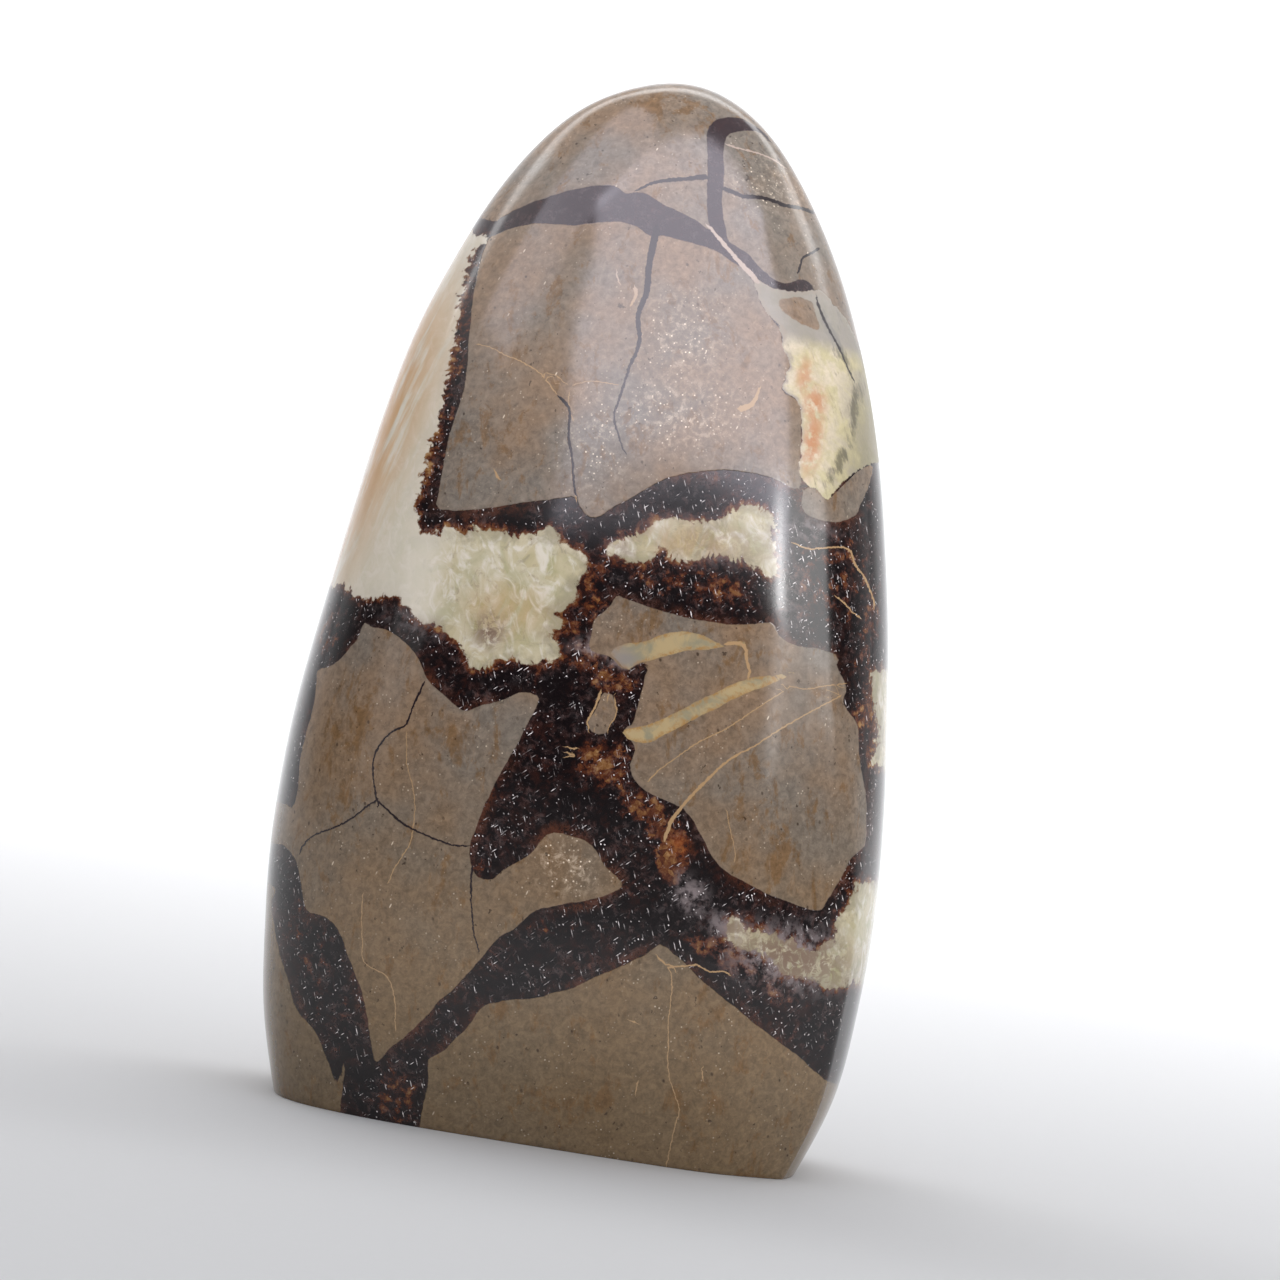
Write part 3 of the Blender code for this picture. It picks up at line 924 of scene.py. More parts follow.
@dataclass(frozen=True)
class Fleck:
    """One kind of small mark, a dot or a dash, that is sown through the stone.

    There is at most one mark to a cell. Turns are in degrees. The radius is a share of a cell,
    the rarity is the share of cells without a mark, and the core is the share of the radius
    inside which the mark is at its full strength.
    """

    stretch: tuple[float, float, float] = (1.0, 1.0, 1.0)
    turn: tuple[float, float, float] = (0.0, 0.0, 0.0)
    per_mm: float = 1.0
    radius: float = 0.24
    rarity: float = 0.5
    core: float = 0.45


class Bench:
    """Adds nodes to a material and joins them, so that the finishes read as sums."""

    def __init__(self, tree: bpy.types.NodeTree) -> None:
        """Keeps the tree that the nodes go into."""
        self.tree = tree

    @cached_property
    def place(self) -> Socket:
        """A point's place on its own object, in millimetres."""
        where = self.node("ShaderNodeTexCoord").outputs["Object"]
        return self.vector("SCALE", where, scale=1.0 / MM)

    @cached_property
    def axes(self) -> tuple[Socket, Socket, Socket]:
        """How far across, back and up a point is, in millimetres."""
        return self.parts(self.place)

    def node(self, kind: str, **settings: object) -> bpy.types.Node:
        """Adds one node.

        Args:
            kind: the node's type.
            settings: the node's own settings.

        Returns:
            The node.
        """
        made = self.tree.nodes.new(kind)
        for name, value in settings.items():
            setattr(made, name, value)
        return made

    def feed(self, socket: Socket, value: Value) -> None:
        """Joins a socket to another one, or sets its number.

        Args:
            socket: the input to feed.
            value: an output, a number, a vector or a colour.
        """
        if isinstance(value, bpy.types.NodeSocket):
            self.tree.links.new(value, socket)
        else:
            socket.default_value = value

    def sum(self, operation: str, a: Value, b: Value = 0.0, c: Value = 0.0) -> Socket:
        """Adds one Math node.

        Args:
            operation: what it works out.
            a: its first value.
            b: its second value, where it has one.
            c: its third value, where it has one.

        Returns:
            The answer.
        """
        made = self.node("ShaderNodeMath", operation=operation)
        for socket, value in zip(made.inputs, (a, b, c)):
            self.feed(socket, value)
        return made.outputs[0]

    def times(self, a: Value, b: Value, plus: Value = 0.0) -> Socket:
        """A value times another one, plus a third."""
        return self.sum("MULTIPLY" if plus == 0.0 else "MULTIPLY_ADD", a, b, plus)

    def centred(self, value: Value) -> Socket:
        """A share or noise as a swing about nothing."""
        return self.sum("SUBTRACT", value, 0.5)

    def vector(
        self, operation: str, a: Value, b: Value = (0.0, 0.0, 0.0), scale: float = 1.0
    ) -> Socket:
        """Adds one Vector Math node.

        Args:
            operation: what it works out.
            a: its first vector.
            b: its second vector, where it has one.
            scale: how much a is scaled, where it is.

        Returns:
            The answer.
        """
        made = self.node("ShaderNodeVectorMath", operation=operation)
        self.feed(made.inputs[0], a)
        self.feed(made.inputs[1], b)
        self.feed(made.inputs[3], scale)
        return made.outputs["Vector"]

    def parts(self, vector: Value) -> tuple[Socket, Socket, Socket]:
        """Takes a vector apart.

        Args:
            vector: the vector.

        Returns:
            Its three numbers.
        """
        made = self.node("ShaderNodeSeparateXYZ")
        self.feed(made.inputs[0], vector)
        return made.outputs[0], made.outputs[1], made.outputs[2]

    def join(self, x: Value, y: Value, z: Value) -> Socket:
        """Makes a vector from three numbers.

        Args:
            x: the first number.
            y: the second number.
            z: the third number.

        Returns:
            The vector.
        """
        made = self.node("ShaderNodeCombineXYZ")
        for socket, value in zip(made.inputs, (x, y, z)):
            self.feed(socket, value)
        return made.outputs[0]

    def attribute(self, name: str) -> tuple[Socket, Socket, Socket]:
        """The three numbers kept on the mesh under a name."""
        made = self.node("ShaderNodeAttribute", attribute_name=name)
        return self.parts(made.outputs["Vector"])

    def stretched(self, where: Socket, scale: tuple, turn: tuple = (0.0, 0.0, 0.0)) -> Socket:
        """A place turned and then scaled along each axis.

        Args:
            where: the place.
            scale: how much along each axis.
            turn: how far round each axis, in degrees.

        Returns:
            The new place.
        """
        turned = self.node("ShaderNodeMapping")
        self.feed(turned.inputs["Vector"], where)
        turned.inputs["Rotation"].default_value = [math.radians(angle) for angle in turn]
        return self.vector("MULTIPLY", turned.outputs[0], scale)

    def noise(
        self,
        where: Socket,
        scale: float,
        detail: float = 2.0,
        rough: float = 0.5,
        twist: float = 0.0,
    ) -> Socket:
        """Soft noise from about 0.2 to 0.8.

        Args:
            where: the place.
            scale: how many swells there are in a millimetre.
            detail: how many times it is refined.
            rough: how strong each refinement is beside the last.
            twist: how far the swells are pulled out of shape.

        Returns:
            The noise.
        """
        made = self.node("ShaderNodeTexNoise")
        self.feed(made.inputs["Vector"], where)
        made.inputs["Scale"].default_value = scale
        made.inputs["Detail"].default_value = detail
        made.inputs["Roughness"].default_value = rough
        made.inputs["Distortion"].default_value = twist
        return made.outputs["Fac"]

    @cached_property
    def crumb(self) -> Socket:
        """Fine noise, a swell to each 0.8 mm, that all the bodies share."""
        return self.noise(self.place, 1.3, 5.0, 0.72, 0.4)

    @cached_property
    def wobble(self) -> Socket:
        """Noise of about a millimetre that bends every edge."""
        return self.noise(self.place, 0.9, 4.0, 0.62)

    @cached_property
    def cloud(self) -> Socket:
        """Soft noise, a swell to each 3 mm, that all the bodies share."""
        return self.noise(self.place, 0.36, 4.0, 0.65, 0.6)

    def cells(self, where: Socket, scale: float) -> tuple[Socket, Socket]:
        """Cells as in broken glass.

        Args:
            where: the place.
            scale: how many cells there are in a millimetre.

        Returns:
            The distance to the cell's middle and a random number for the cell.
        """
        made = self.node("ShaderNodeTexVoronoi")
        self.feed(made.inputs["Vector"], where)
        made.inputs["Scale"].default_value = scale
        return made.outputs["Distance"], self.parts(made.outputs["Color"])[0]

    def step(self, value: Value, low: Value, high: Value) -> Socket:
        """A smooth rise from 0 at low to 1 at high.

        Args:
            value: what rises.
            low: where the rise starts.
            high: where it ends, which may be below low.

        Returns:
            A share from 0 to 1.
        """
        made = self.node("ShaderNodeMapRange", interpolation_type="SMOOTHSTEP")
        self.feed(made.inputs["Value"], value)
        self.feed(made.inputs["From Min"], low)
        self.feed(made.inputs["From Max"], high)
        return made.outputs["Result"]

    def mix(self, share: Value, a: Value, b: Value, blend: str = "MIX") -> Socket:
        """Mixes one colour into another.

        Args:
            share: how much of b there is.
            a: the colour that is there.
            b: the colour that comes in.
            blend: how they mix.

        Returns:
            The mixed colour.
        """
        made = self.node("ShaderNodeMix", data_type="RGBA", blend_type=blend)
        made.clamp_factor = True
        self.feed(made.inputs[0], share)
        self.feed(made.inputs[6], a)
        self.feed(made.inputs[7], b)
        return made.outputs[2]

    def over(self, base: Value, top: Value, share: Value, strength: float) -> Socket:
        """A colour laid over another where a share is high, up to some strength."""
        return self.mix(self.times(share, strength), base, top)

    def shaded(self, base: Value, light: Socket) -> Socket:
        """A colour made lighter or darker by a factor."""
        return self.mix(1.0, base, self.join(light, light, light), "MULTIPLY")

    def ramp(self, value: Value, *stops: tuple[float, Colour]) -> Socket:
        """A colour that runs through the stops as a value goes from 0 to 1.

        Args:
            value: where on the run.
            stops: positions and their colours, in order.

        Returns:
            The colour.
        """
        made = self.node("ShaderNodeValToRGB")
        self.feed(made.inputs[0], value)
        elements = made.color_ramp.elements
        for index, (position, shown) in enumerate(stops):
            element = elements[index] if index < 2 else elements.new(position)
            element.position = position
            element.color = shown
        return made.outputs["Color"]

    def flecks(self, kind: Fleck) -> Socket:
        """Small marks, at most one to a cell.

        Args:
            kind: how the marks are.

        Returns:
            A share that is 1 in a mark.
        """
        where = self.stretched(self.place, kind.stretch, kind.turn)
        distance, chance = self.cells(where, kind.per_mm)
        near = self.step(distance, kind.radius, kind.radius * kind.core)
        return self.times(near, self.step(chance, kind.rarity, 1.0))


def colour(red: float, green: float, blue: float) -> Colour:
    """A colour from red, green and blue as a screen shows them, 0 to 255.

    Args:
        red: the red.
        green: the green.
        blue: the blue.

    Returns:
        The colour as light, and opaque.
    """

    def linear(value: float) -> float:
        """One channel as light."""
        share = value / 255.0
        return share / 12.92 if share <= 0.04045 else ((share + 0.055) / 1.055) ** 2.4

    return linear(red), linear(green), linear(blue), 1.0


@dataclass(frozen=True)
class Mudstone:
    """Grey-brown mudstone, mottled, stained with ochre and peppered with specks; painted shade
    darkens it towards the foot.
    """

    taupe: Colour = colour(107, 99, 88)
    warm: Colour = colour(119, 98, 76)
    # low: the darker, warmer colour of the painted shade towards the foot
    low: Colour = colour(104, 86, 60)
    ochre: Colour = colour(101, 73, 40)
    dark_speck: Colour = colour(40, 28, 20)
    pale_speck: Colour = colour(200, 184, 160)
    sand: Colour = colour(226, 210, 184)
    foot_shade_heights: tuple[float, float] = (46.0, 6.0)
    specks: Fleck = Fleck((1.0, 1.0, 0.7), (0.0, 25.0, 0.0), 0.8, 0.15, 0.35)
    dashes: Fleck = Fleck((1.8, 1.0, 0.5), (0.0, -18.0, 0.0), 0.62, 0.1, 0.72)
    glitter: Fleck = Fleck(per_mm=2.4, radius=0.27, rarity=0.25)

    def lay(self, bench: Bench, ochre_share: Socket, grain_share: Socket) -> Socket:
        """Builds the colour of the mudstone.

        Args:
            bench: where the nodes go.
            ochre_share: the soft spots of ochre.
            grain_share: where the stone is full of pale grains.

        Returns:
            The colour.
        """
        place = bench.place
        broad = bench.step(bench.noise(place, 0.07, 3.0, 0.6), 0.35, 0.65)
        base = bench.mix(broad, self.taupe, self.warm)
        # Painted shade: the mudstone turns darker and warmer towards the foot, standing in for
        # light that falls off downwards.
        foot = bench.step(bench.axes[2], *self.foot_shade_heights)
        base = bench.over(base, self.low, foot, 0.8)
        upright = bench.stretched(place, (1.0, 1.0, 0.5), (0.0, 6.0, 0.0))
        blotch = bench.noise(upright, 0.5, 5.0, 0.7, 0.4)
        stain = bench.step(bench.times(ochre_share, 0.15, blotch), 0.54, 0.67)
        base = bench.over(base, self.ochre, stain, 0.66)
        shade = bench.times(bench.crumb, 1.7, 0.15)
        base = bench.shaded(base, shade)
        pits = bench.noise(bench.stretched(place, (1.0, 1.0, 0.8)), 1.5, 3.0, 0.6)
        base = bench.over(base, self.dark_speck, bench.step(pits, 0.67, 0.72), 0.7)
        base = bench.over(base, self.dark_speck, bench.flecks(self.specks), 0.75)
        base = bench.over(base, self.pale_speck, bench.flecks(self.dashes), 0.9)
        crumbs = bench.times(bench.step(bench.crumb, 0.5, 0.66), grain_share)
        base = bench.over(base, self.sand, crumbs, 0.3)
        drift = bench.step(bench.cloud, 0.48, 0.66)
        crowd = bench.times(drift, 0.45, bench.times(grain_share, 1.5))
        glitter = bench.times(bench.flecks(self.glitter), crowd)
        return bench.mix(bench.sum("MINIMUM", glitter, 1.0), base, self.sand)


@dataclass(frozen=True)
class DarkCalcite:
    """Calcite along the walls: black, then red-brown and amber, in blades with bright flecks."""

    black: Colour = colour(14, 8, 9)
    brown: Colour = colour(42, 20, 15)
    rust: Colour = colour(78, 40, 22)
    rim: Colour = colour(82, 45, 28)
    plum: Colour = colour(50, 34, 38)
    amber: Colour = colour(114, 78, 44)
    straw: Colour = colour(148, 114, 70)
    orange: Colour = colour(140, 70, 26)
    grey: Colour = colour(124, 114, 112)
    fleck: Colour = colour(238, 231, 226)
    crown_heights: tuple[float, float] = (84.0, 94.0)
    steep: Fleck = Fleck((3.8, 1.3, 0.46), (0.0, 22.0, 0.0), rarity=0.42)
    slant: Fleck = Fleck((4.2, 1.3, 0.6), (0.0, -48.0, 0.0), rarity=0.46)
    dots: Fleck = Fleck((3.0, 2.4, 2.2), (0.0, 40.0, 0.0), radius=0.26, rarity=0.3)

    def lay(
        self,
        bench: Bench,
        ripe: Socket,
        rim: Socket,
        blades: Socket,
        grey_share: Socket,
        orange_share: Socket,
        run: Socket,
    ) -> Socket:
        """Builds the colour of the dark calcite.

        Args:
            bench: where the nodes go.
            ripe: 0 where the calcite is black and 1 where it turns to cream.
            rim: where light shines through the thin edge against the wall.
            blades: a place measured along and away from the nearest wall.
            grey_share: where the calcite is clear and grey.
            orange_share: where it is bright orange.
            run: noise along the wall.

        Returns:
            The colour.
        """
        place = bench.place
        crystal, chance = bench.cells(place, 1.4)
        near_wall = bench.step(bench.parts(blades)[1], 3.0, 0.6)
        fibres = bench.times(bench.centred(run), bench.sum("ADD", near_wall, 0.4))
        tone = bench.times(fibres, 0.9, ripe)
        tone = bench.times(bench.centred(bench.crumb), 1.15, tone)
        body = bench.noise(place, 0.16, 3.0, 0.6)
        tone = bench.times(bench.centred(body), 0.7, tone)
        lively = bench.times(ripe, 0.26, 0.18)
        tone = bench.times(bench.centred(chance), lively, tone)
        tone = bench.times(crystal, -0.12, bench.sum("ADD", tone, 0.07))
        base = bench.ramp(
            tone,
            (0.0, self.black),
            (0.3, self.brown),
            (0.52, self.rust),
            (0.75, self.amber),
            (1.0, self.straw),
        )
        bright_orange = bench.times(orange_share, bench.step(bench.crumb, 0.3, 0.6))
        base = bench.mix(bright_orange, base, self.orange)
        lit_rim = bench.times(rim, bench.step(bench.crumb, 0.3, 0.62))
        base = bench.mix(lit_rim, base, self.rim)
        high = bench.step(bench.axes[2], *self.crown_heights)
        base = bench.over(base, self.plum, high, 0.6)
        veil = bench.times(grey_share, bench.step(bench.wobble, 0.38, 0.62))
        base = bench.mix(veil, base, self.grey)
        dashes = bench.sum("MAXIMUM", bench.flecks(self.steep), bench.flecks(self.slant))
        bright = bench.sum("MAXIMUM", dashes, bench.flecks(self.dots))
        crowd = bench.step(bench.cloud, 0.36, 0.58)
        mist = bench.times(crowd, bench.step(bench.crumb, 0.46, 0.74))
        base = bench.over(base, self.grey, mist, 0.2)
        crowd = bench.times(crowd, bench.sum("SUBTRACT", 1.0, high))
        glint = bench.step(bench.crumb, 0.6, 0.42)
        bright = bench.times(bench.times(bright, crowd), glint)
        return bench.mix(bright, base, self.fleck)


@dataclass(frozen=True)
class CreamCalcite:
    """Cloudy cream calcite in blocky crystals, yellow where it is stained."""

    cream: Colour = colour(170, 160, 128)
    milk: Colour = colour(196, 190, 174)
    green: Colour = colour(146, 143, 104)
    yellow: Colour = colour(174, 128, 68)
    clear: Colour = colour(116, 98, 82)
    smoke: Colour = colour(138, 130, 108)
    milky_left: tuple[float, float] = (-16.0, -20.0)

    def lay(self, bench: Bench, depth: Socket, yellow_share: Socket, grey_share: Socket) -> Socket:
        """Builds the colour of the cream calcite.

        Args:
            bench: where the nodes go.
            depth: how far outside its edge a point is, negative inside.
            yellow_share: where it is stained.
            grey_share: where it is clear and lets the dark behind it through.

        Returns:
            The colour.
        """
        place = bench.place
        base = bench.mix(bench.step(bench.cloud, 0.34, 0.62), self.green, self.cream)
        tilted = bench.stretched(place, (1.0, 1.0, 0.7), (0.0, 30.0, 0.0))
        chance = bench.cells(tilted, 0.5)[1]
        base = bench.over(base, self.milk, chance, 0.3)
        murk = bench.noise(place, 0.85, 4.0, 0.7, 1.0)
        base = bench.over(base, self.smoke, bench.step(murk, 0.46, 0.3), 0.7)
        slanted = bench.stretched(place, (1.5, 1.0, 0.8), (0.0, 25.0, 0.0))
        feather = bench.noise(slanted, 0.46, 4.0, 0.62, 1.2)
        base = bench.over(base, self.milk, bench.step(feather, 0.46, 0.7), 0.9)
        edge = bench.times(bench.step(depth, -1.3, 0.4), bench.step(bench.cloud, 0.66, 0.4))
        base = bench.over(base, self.smoke, edge, 0.85)
        left = bench.step(bench.axes[0], *self.milky_left)
        base = bench.over(base, self.milk, left, 0.7)
        upright = bench.stretched(place, (0.9, 0.6, 0.12), (0.0, -14.0, 0.0))
        bands = bench.noise(upright, 1.0, 3.0, 0.6)
        gold = bench.times(yellow_share, bench.step(bands, 0.25, 0.55))
        base = bench.mix(gold, base, self.yellow)
        hole = bench.times(grey_share, bench.step(murk, 0.36, 0.56))
        return bench.mix(hole, base, self.clear)


@dataclass(frozen=True)
class WeatheredCalcite:
    """The patch at the upper right: white along its torn edge, yellow inside, olive outside."""

    white: Colour = colour(138, 128, 114)
    yellow: Colour = colour(170, 160, 122)
    cream: Colour = colour(184, 172, 146)
    peach: Colour = colour(164, 106, 60)
    olive: Colour = colour(112, 108, 88)
    moss: Colour = colour(64, 60, 44)
    grey: Colour = colour(122, 118, 112)
    olive_right: tuple[float, float] = (22.0, 26.5)
    white_left: tuple[float, float] = (17.5, 14.5)
    grey_heights: tuple[float, float] = (84.0, 86.0)

    def lay(self, bench: Bench, depth: Socket, orange_share: Socket, moss_share: Socket) -> Socket:
        """Builds the colour of the patch.

        Args:
            bench: where the nodes go.
            depth: how far outside its outline a point is, negative inside.
            orange_share: where it is stained orange.
            moss_share: where it is dark and olive.

        Returns:
            The colour.
        """
        across = bench.axes[0]
        base = bench.mix(bench.step(bench.cloud, 0.4, 0.62), self.yellow, self.cream)
        curd = bench.times(bench.crumb, 0.8, 0.6)
        base = bench.shaded(base, curd)
        outer = bench.step(bench.times(bench.cloud, 7.0, across), *self.olive_right)
        base = bench.over(base, self.olive, outer, 0.7)
        slanted = bench.stretched(bench.place, (1.6, 1.0, 0.5), (0.0, 25.0, 0.0))
        streaks = bench.noise(slanted, 0.9, 4.0, 0.7)
        moss = bench.step(bench.times(moss_share, 0.3, streaks), 0.56, 0.8)
        base = bench.over(base, self.moss, moss, 0.75)
        warm = bench.times(orange_share, bench.step(bench.wobble, 0.3, 0.56))
        base = bench.mix(warm, base, self.peach)
        top = bench.step(bench.axes[2], *self.grey_heights)
        base = bench.over(base, self.grey, top, 0.8)
        rim = bench.step(bench.times(bench.wobble, 1.8, depth), 0.35, 0.9)
        rim = bench.times(rim, bench.step(across, *self.white_left))
        return bench.mix(rim, base, self.white)


@dataclass(frozen=True)
class PaleVein:
    """The veins that cross the right block: tan at the edges and grey along the middle."""

    tan: Colour = colour(146, 112, 66)
    buff: Colour = colour(160, 142, 104)
    slate: Colour = colour(130, 124, 100)
    clear: Colour = colour(126, 120, 114)
    thread: Colour = colour(156, 128, 92)
    high_thread: Colour = colour(158, 142, 128)

    def lay(self, bench: Bench, depth: Socket, grey_share: Socket) -> Socket:
        """Builds the colour of a pale vein.

        Args:
            bench: where the nodes go.
            depth: how far outside its edge a point is, negative inside.
            grey_share: where it is clear and grey.

        Returns:
            The colour.
        """
        base = bench.mix(bench.step(bench.cloud, 0.36, 0.6), self.slate, self.buff)
        edge = bench.step(bench.sum("ADD", bench.crumb, depth), 0.0, 0.5)
        patchy = bench.times(bench.step(bench.crumb, 0.42, 0.6), 0.6, 0.3)
        edge = bench.times(edge, patchy)
        base = bench.mix(edge, base, self.tan)
        return bench.mix(grey_share, base, self.clear)


@dataclass(frozen=True)
class StoneFinish:
    """The whole finish of the polished stone, put together from its five bodies."""

    name: str = "polished_septarian"
    crack: Colour = colour(32, 23, 25)
    wall_wobble: float = 0.32
    tooth_pitch: float = 0.42
    polish: float = 0.13
    worn: float = 0.34
    smear: float = 0.07
    bump: float = 0.12
    bump_height: float = 0.1
    ior: float = 1.55
    crown_heights: tuple[float, float] = (84.0, 90.0)
    glow_heights: tuple[float, float] = (92.0, 84.0)

    def threads(self, bench: Bench, name: str, wobble: Socket) -> Socket:
        """Where the threads of one kind lie.

        Args:
            bench: where the nodes go.
            name: what their distances are kept as.
            wobble: noise that bends them.

        Returns:
            A share that is 1 in a thread.
        """
        signed, near, half = bench.attribute(name)
        bent = bench.times(bench.centred(wobble), 0.35, signed)
        gap = bench.sum("SUBTRACT", bench.sum("ABSOLUTE", bent), half)
        line = bench.step(gap, 0.04, -0.03)
        real = bench.step(near, 0.6, 0.42)
        wide = bench.step(half, 0.005, 0.03)
        return bench.times(bench.times(line, real), wide)

    def material(self) -> bpy.types.Material:
        """Builds the material.

        Returns:
            The material, with its shader joined straight to the output.
        """
        material = bpy.data.materials.new(self.name)
        material.use_nodes = True
        bench = Bench(material.node_tree)
        shader = material.node_tree.nodes["Principled BSDF"]
        wall, run, cream = bench.attribute("walls")
        pale, patch, chip = bench.attribute("bodies")
        amber, grey, yellow = bench.attribute("calcite_tints")
        ochre, grain, orange = bench.attribute("stone_tints")
        _, depth_y, height = bench.axes
        swell = bench.noise(bench.place, 0.12, 2.0)
        crinkle = bench.noise(bench.place, 2.2, 3.0, 0.6)
        off = bench.centred(bench.wobble)
        wall_edge = bench.times(off, self.wall_wobble, wall)

        blades = bench.join(run, wall, bench.times(depth_y, 0.5))
        run_noise = bench.noise(bench.stretched(blades, (1.0, 0.16, 0.4)), 1.5, 3.0, 0.65)
        swing = bench.times(bench.noise(bench.place, 0.5, 2.0), 2.6, run)
        teeth = bench.sum("PINGPONG", swing, self.tooth_pitch)
        size = bench.times(bench.noise(bench.place, 0.33, 2.0), 2.9, -0.8)
        cream_edge = bench.times(teeth, size, cream)
        cream_edge = bench.times(off, 2.0, cream_edge)
        in_cream = bench.step(cream_edge, 0.5, 0.22)

        near_cream = bench.step(cream_edge, 1.6, 0.3)
        from_wall = bench.step(wall_edge, 0.1, 0.8)
        ripe = bench.times(bench.times(near_cream, 0.56), from_wall)
        body = bench.step(bench.times(off, 1.3, amber), 0.18, 0.5)
        body = bench.times(body, bench.times(amber, 0.42, 0.36))
        ripe = bench.sum("MAXIMUM", ripe, body)
        glow = bench.times(bench.step(swell, 0.45, 0.62), 0.68, 0.06)
        glow = bench.times(glow, bench.step(height, *self.glow_heights))
        thin = bench.times(bench.centred(run_noise), 2.4, wall_edge)
        rim = bench.times(bench.step(thin, 1.25, 0.1), glow)
        calcite = DarkCalcite().lay(bench, ripe, rim, blades, grey, orange, run_noise)
        calcite = bench.mix(in_cream, calcite, CreamCalcite().lay(bench, cream_edge, yellow, grey))
        mudstone = Mudstone().lay(bench, ochre, grain)
        in_stone = bench.step(wall_edge, 0.06, -0.06)
        base = bench.mix(in_stone, calcite, mudstone)

        patch_edge = bench.times(off, 0.9, patch)
        in_patch = bench.step(patch_edge, 0.05, -0.08)
        base = bench.mix(in_patch, base, WeatheredCalcite().lay(bench, patch, orange, grey))
        in_chip = bench.step(bench.times(off, 0.7, chip), 0.05, -0.08)
        base = bench.mix(in_chip, base, mudstone)
        pale_edge = bench.times(off, 0.35, pale)
        in_pale = bench.step(pale_edge, 0.05, -0.05)
        vein = PaleVein()
        base = bench.mix(in_pale, base, vein.lay(bench, pale, grey))
        high = bench.step(height, *self.crown_heights)
        thread_tone = bench.mix(high, vein.thread, vein.high_thread)
        base = bench.mix(self.threads(bench, "tan_threads", crinkle), base, thread_tone)
        base = bench.mix(self.threads(bench, "dark_cracks", crinkle), base, self.crack)
        bench.feed(shader.inputs["Base Color"], base)
        self.polish_up(bench, shader, in_stone, in_patch, crinkle)
        return material

    def polish_up(
        self,
        bench: Bench,
        shader: bpy.types.Node,
        in_stone: Socket,
        in_patch: Socket,
        crinkle: Socket,
    ) -> None:
        """Gives the shader its roughness, its faint bump and its gloss.

        Args:
            bench: where the nodes go.
            shader: what they feed.
            in_stone: where the mudstone is, which takes a softer polish.
            in_patch: where the weathered patch is, which is worn dull.
            crinkle: fine noise.
        """
        smear = bench.noise(bench.stretched(bench.place, (0.3, 0.3, 1.0)), 0.5, 3.0)
        rough = bench.times(smear, self.smear, self.polish - 0.5 * self.smear)
        rough = bench.times(in_patch, self.worn - self.polish, rough)
        rough = bench.times(in_stone, 0.03, rough)
        bench.feed(shader.inputs["Roughness"], rough)

        relief = bench.times(in_stone, 0.4, bench.times(bench.wobble, 0.3))
        relief = bench.times(bench.times(in_patch, crinkle), 1.5, relief)
        bump = bench.node("ShaderNodeBump")
        bump.inputs["Strength"].default_value = self.bump
        bump.inputs["Distance"].default_value = self.bump_height * MM
        bench.feed(bump.inputs["Height"], relief)
        bench.feed(shader.inputs["Normal"], bump.outputs[0])
        shader.inputs["IOR"].default_value = self.ior


@dataclass
class Nodule:
    """The stone itself: its form, its pattern and its finish."""

    form: StoneForm
    pattern: Pattern
    finish: StoneFinish
    cad_node: str = "nodule"
    body: str = "root"
    slot: str = "septarian_stone"

    def build(self) -> bpy.types.Object:
        """Makes the stone and stands it in for the plain solid.

        Returns:
            The dressed stone.
        """
        stone = self.form.build()
        self.pattern.write(stone.data)
        stone.data.materials.clear()
        stone.data.materials.append(self.finish.material())
        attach(stone, self.body)
        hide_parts(self.cad_node)
        return stone


# The studio


@dataclass(frozen=True)
class Softbox:
    """A rectangular light that looks at the stone from a direction round the camera's side.

    Azimuth 0 is straight in front and grows to the right; sizes are in metres. A flagged light
    is shaded off the floor, so that it falls on the stone alone.
    """

    name: str
    azimuth: float
    elevation: float
    distance: float
    width: float
    height: float
    radiance: float
    flagged: bool = True
    tone: tuple[float, float, float] = (1.0, 1.0, 1.0)

    def build(self, target: Vector, subject: bpy.types.Collection) -> None:
        """Adds the light, pointed at the target.

        Args:
            target: the middle of what it lights.
            subject: holds what a flagged light falls on.
        """
        data = bpy.data.lights.new(self.name, "AREA")
        data.shape = "RECTANGLE"
        data.size = self.width
        data.size_y = self.height
        data.energy = self.radiance * math.pi * self.width * self.height
        data.color = self.tone
        light = bpy.data.objects.new(self.name, data)
        across, up = math.radians(self.azimuth), math.radians(self.elevation)
        out = Vector(
            (math.sin(across) * math.cos(up), -math.cos(across) * math.cos(up), math.sin(up))
        )
        light.location = target + out * self.distance
        light.rotation_euler = out.to_track_quat("Z", "Y").to_euler()
        if self.flagged:
            light.light_linking.receiver_collection = subject
        bpy.context.scene.collection.objects.link(light)


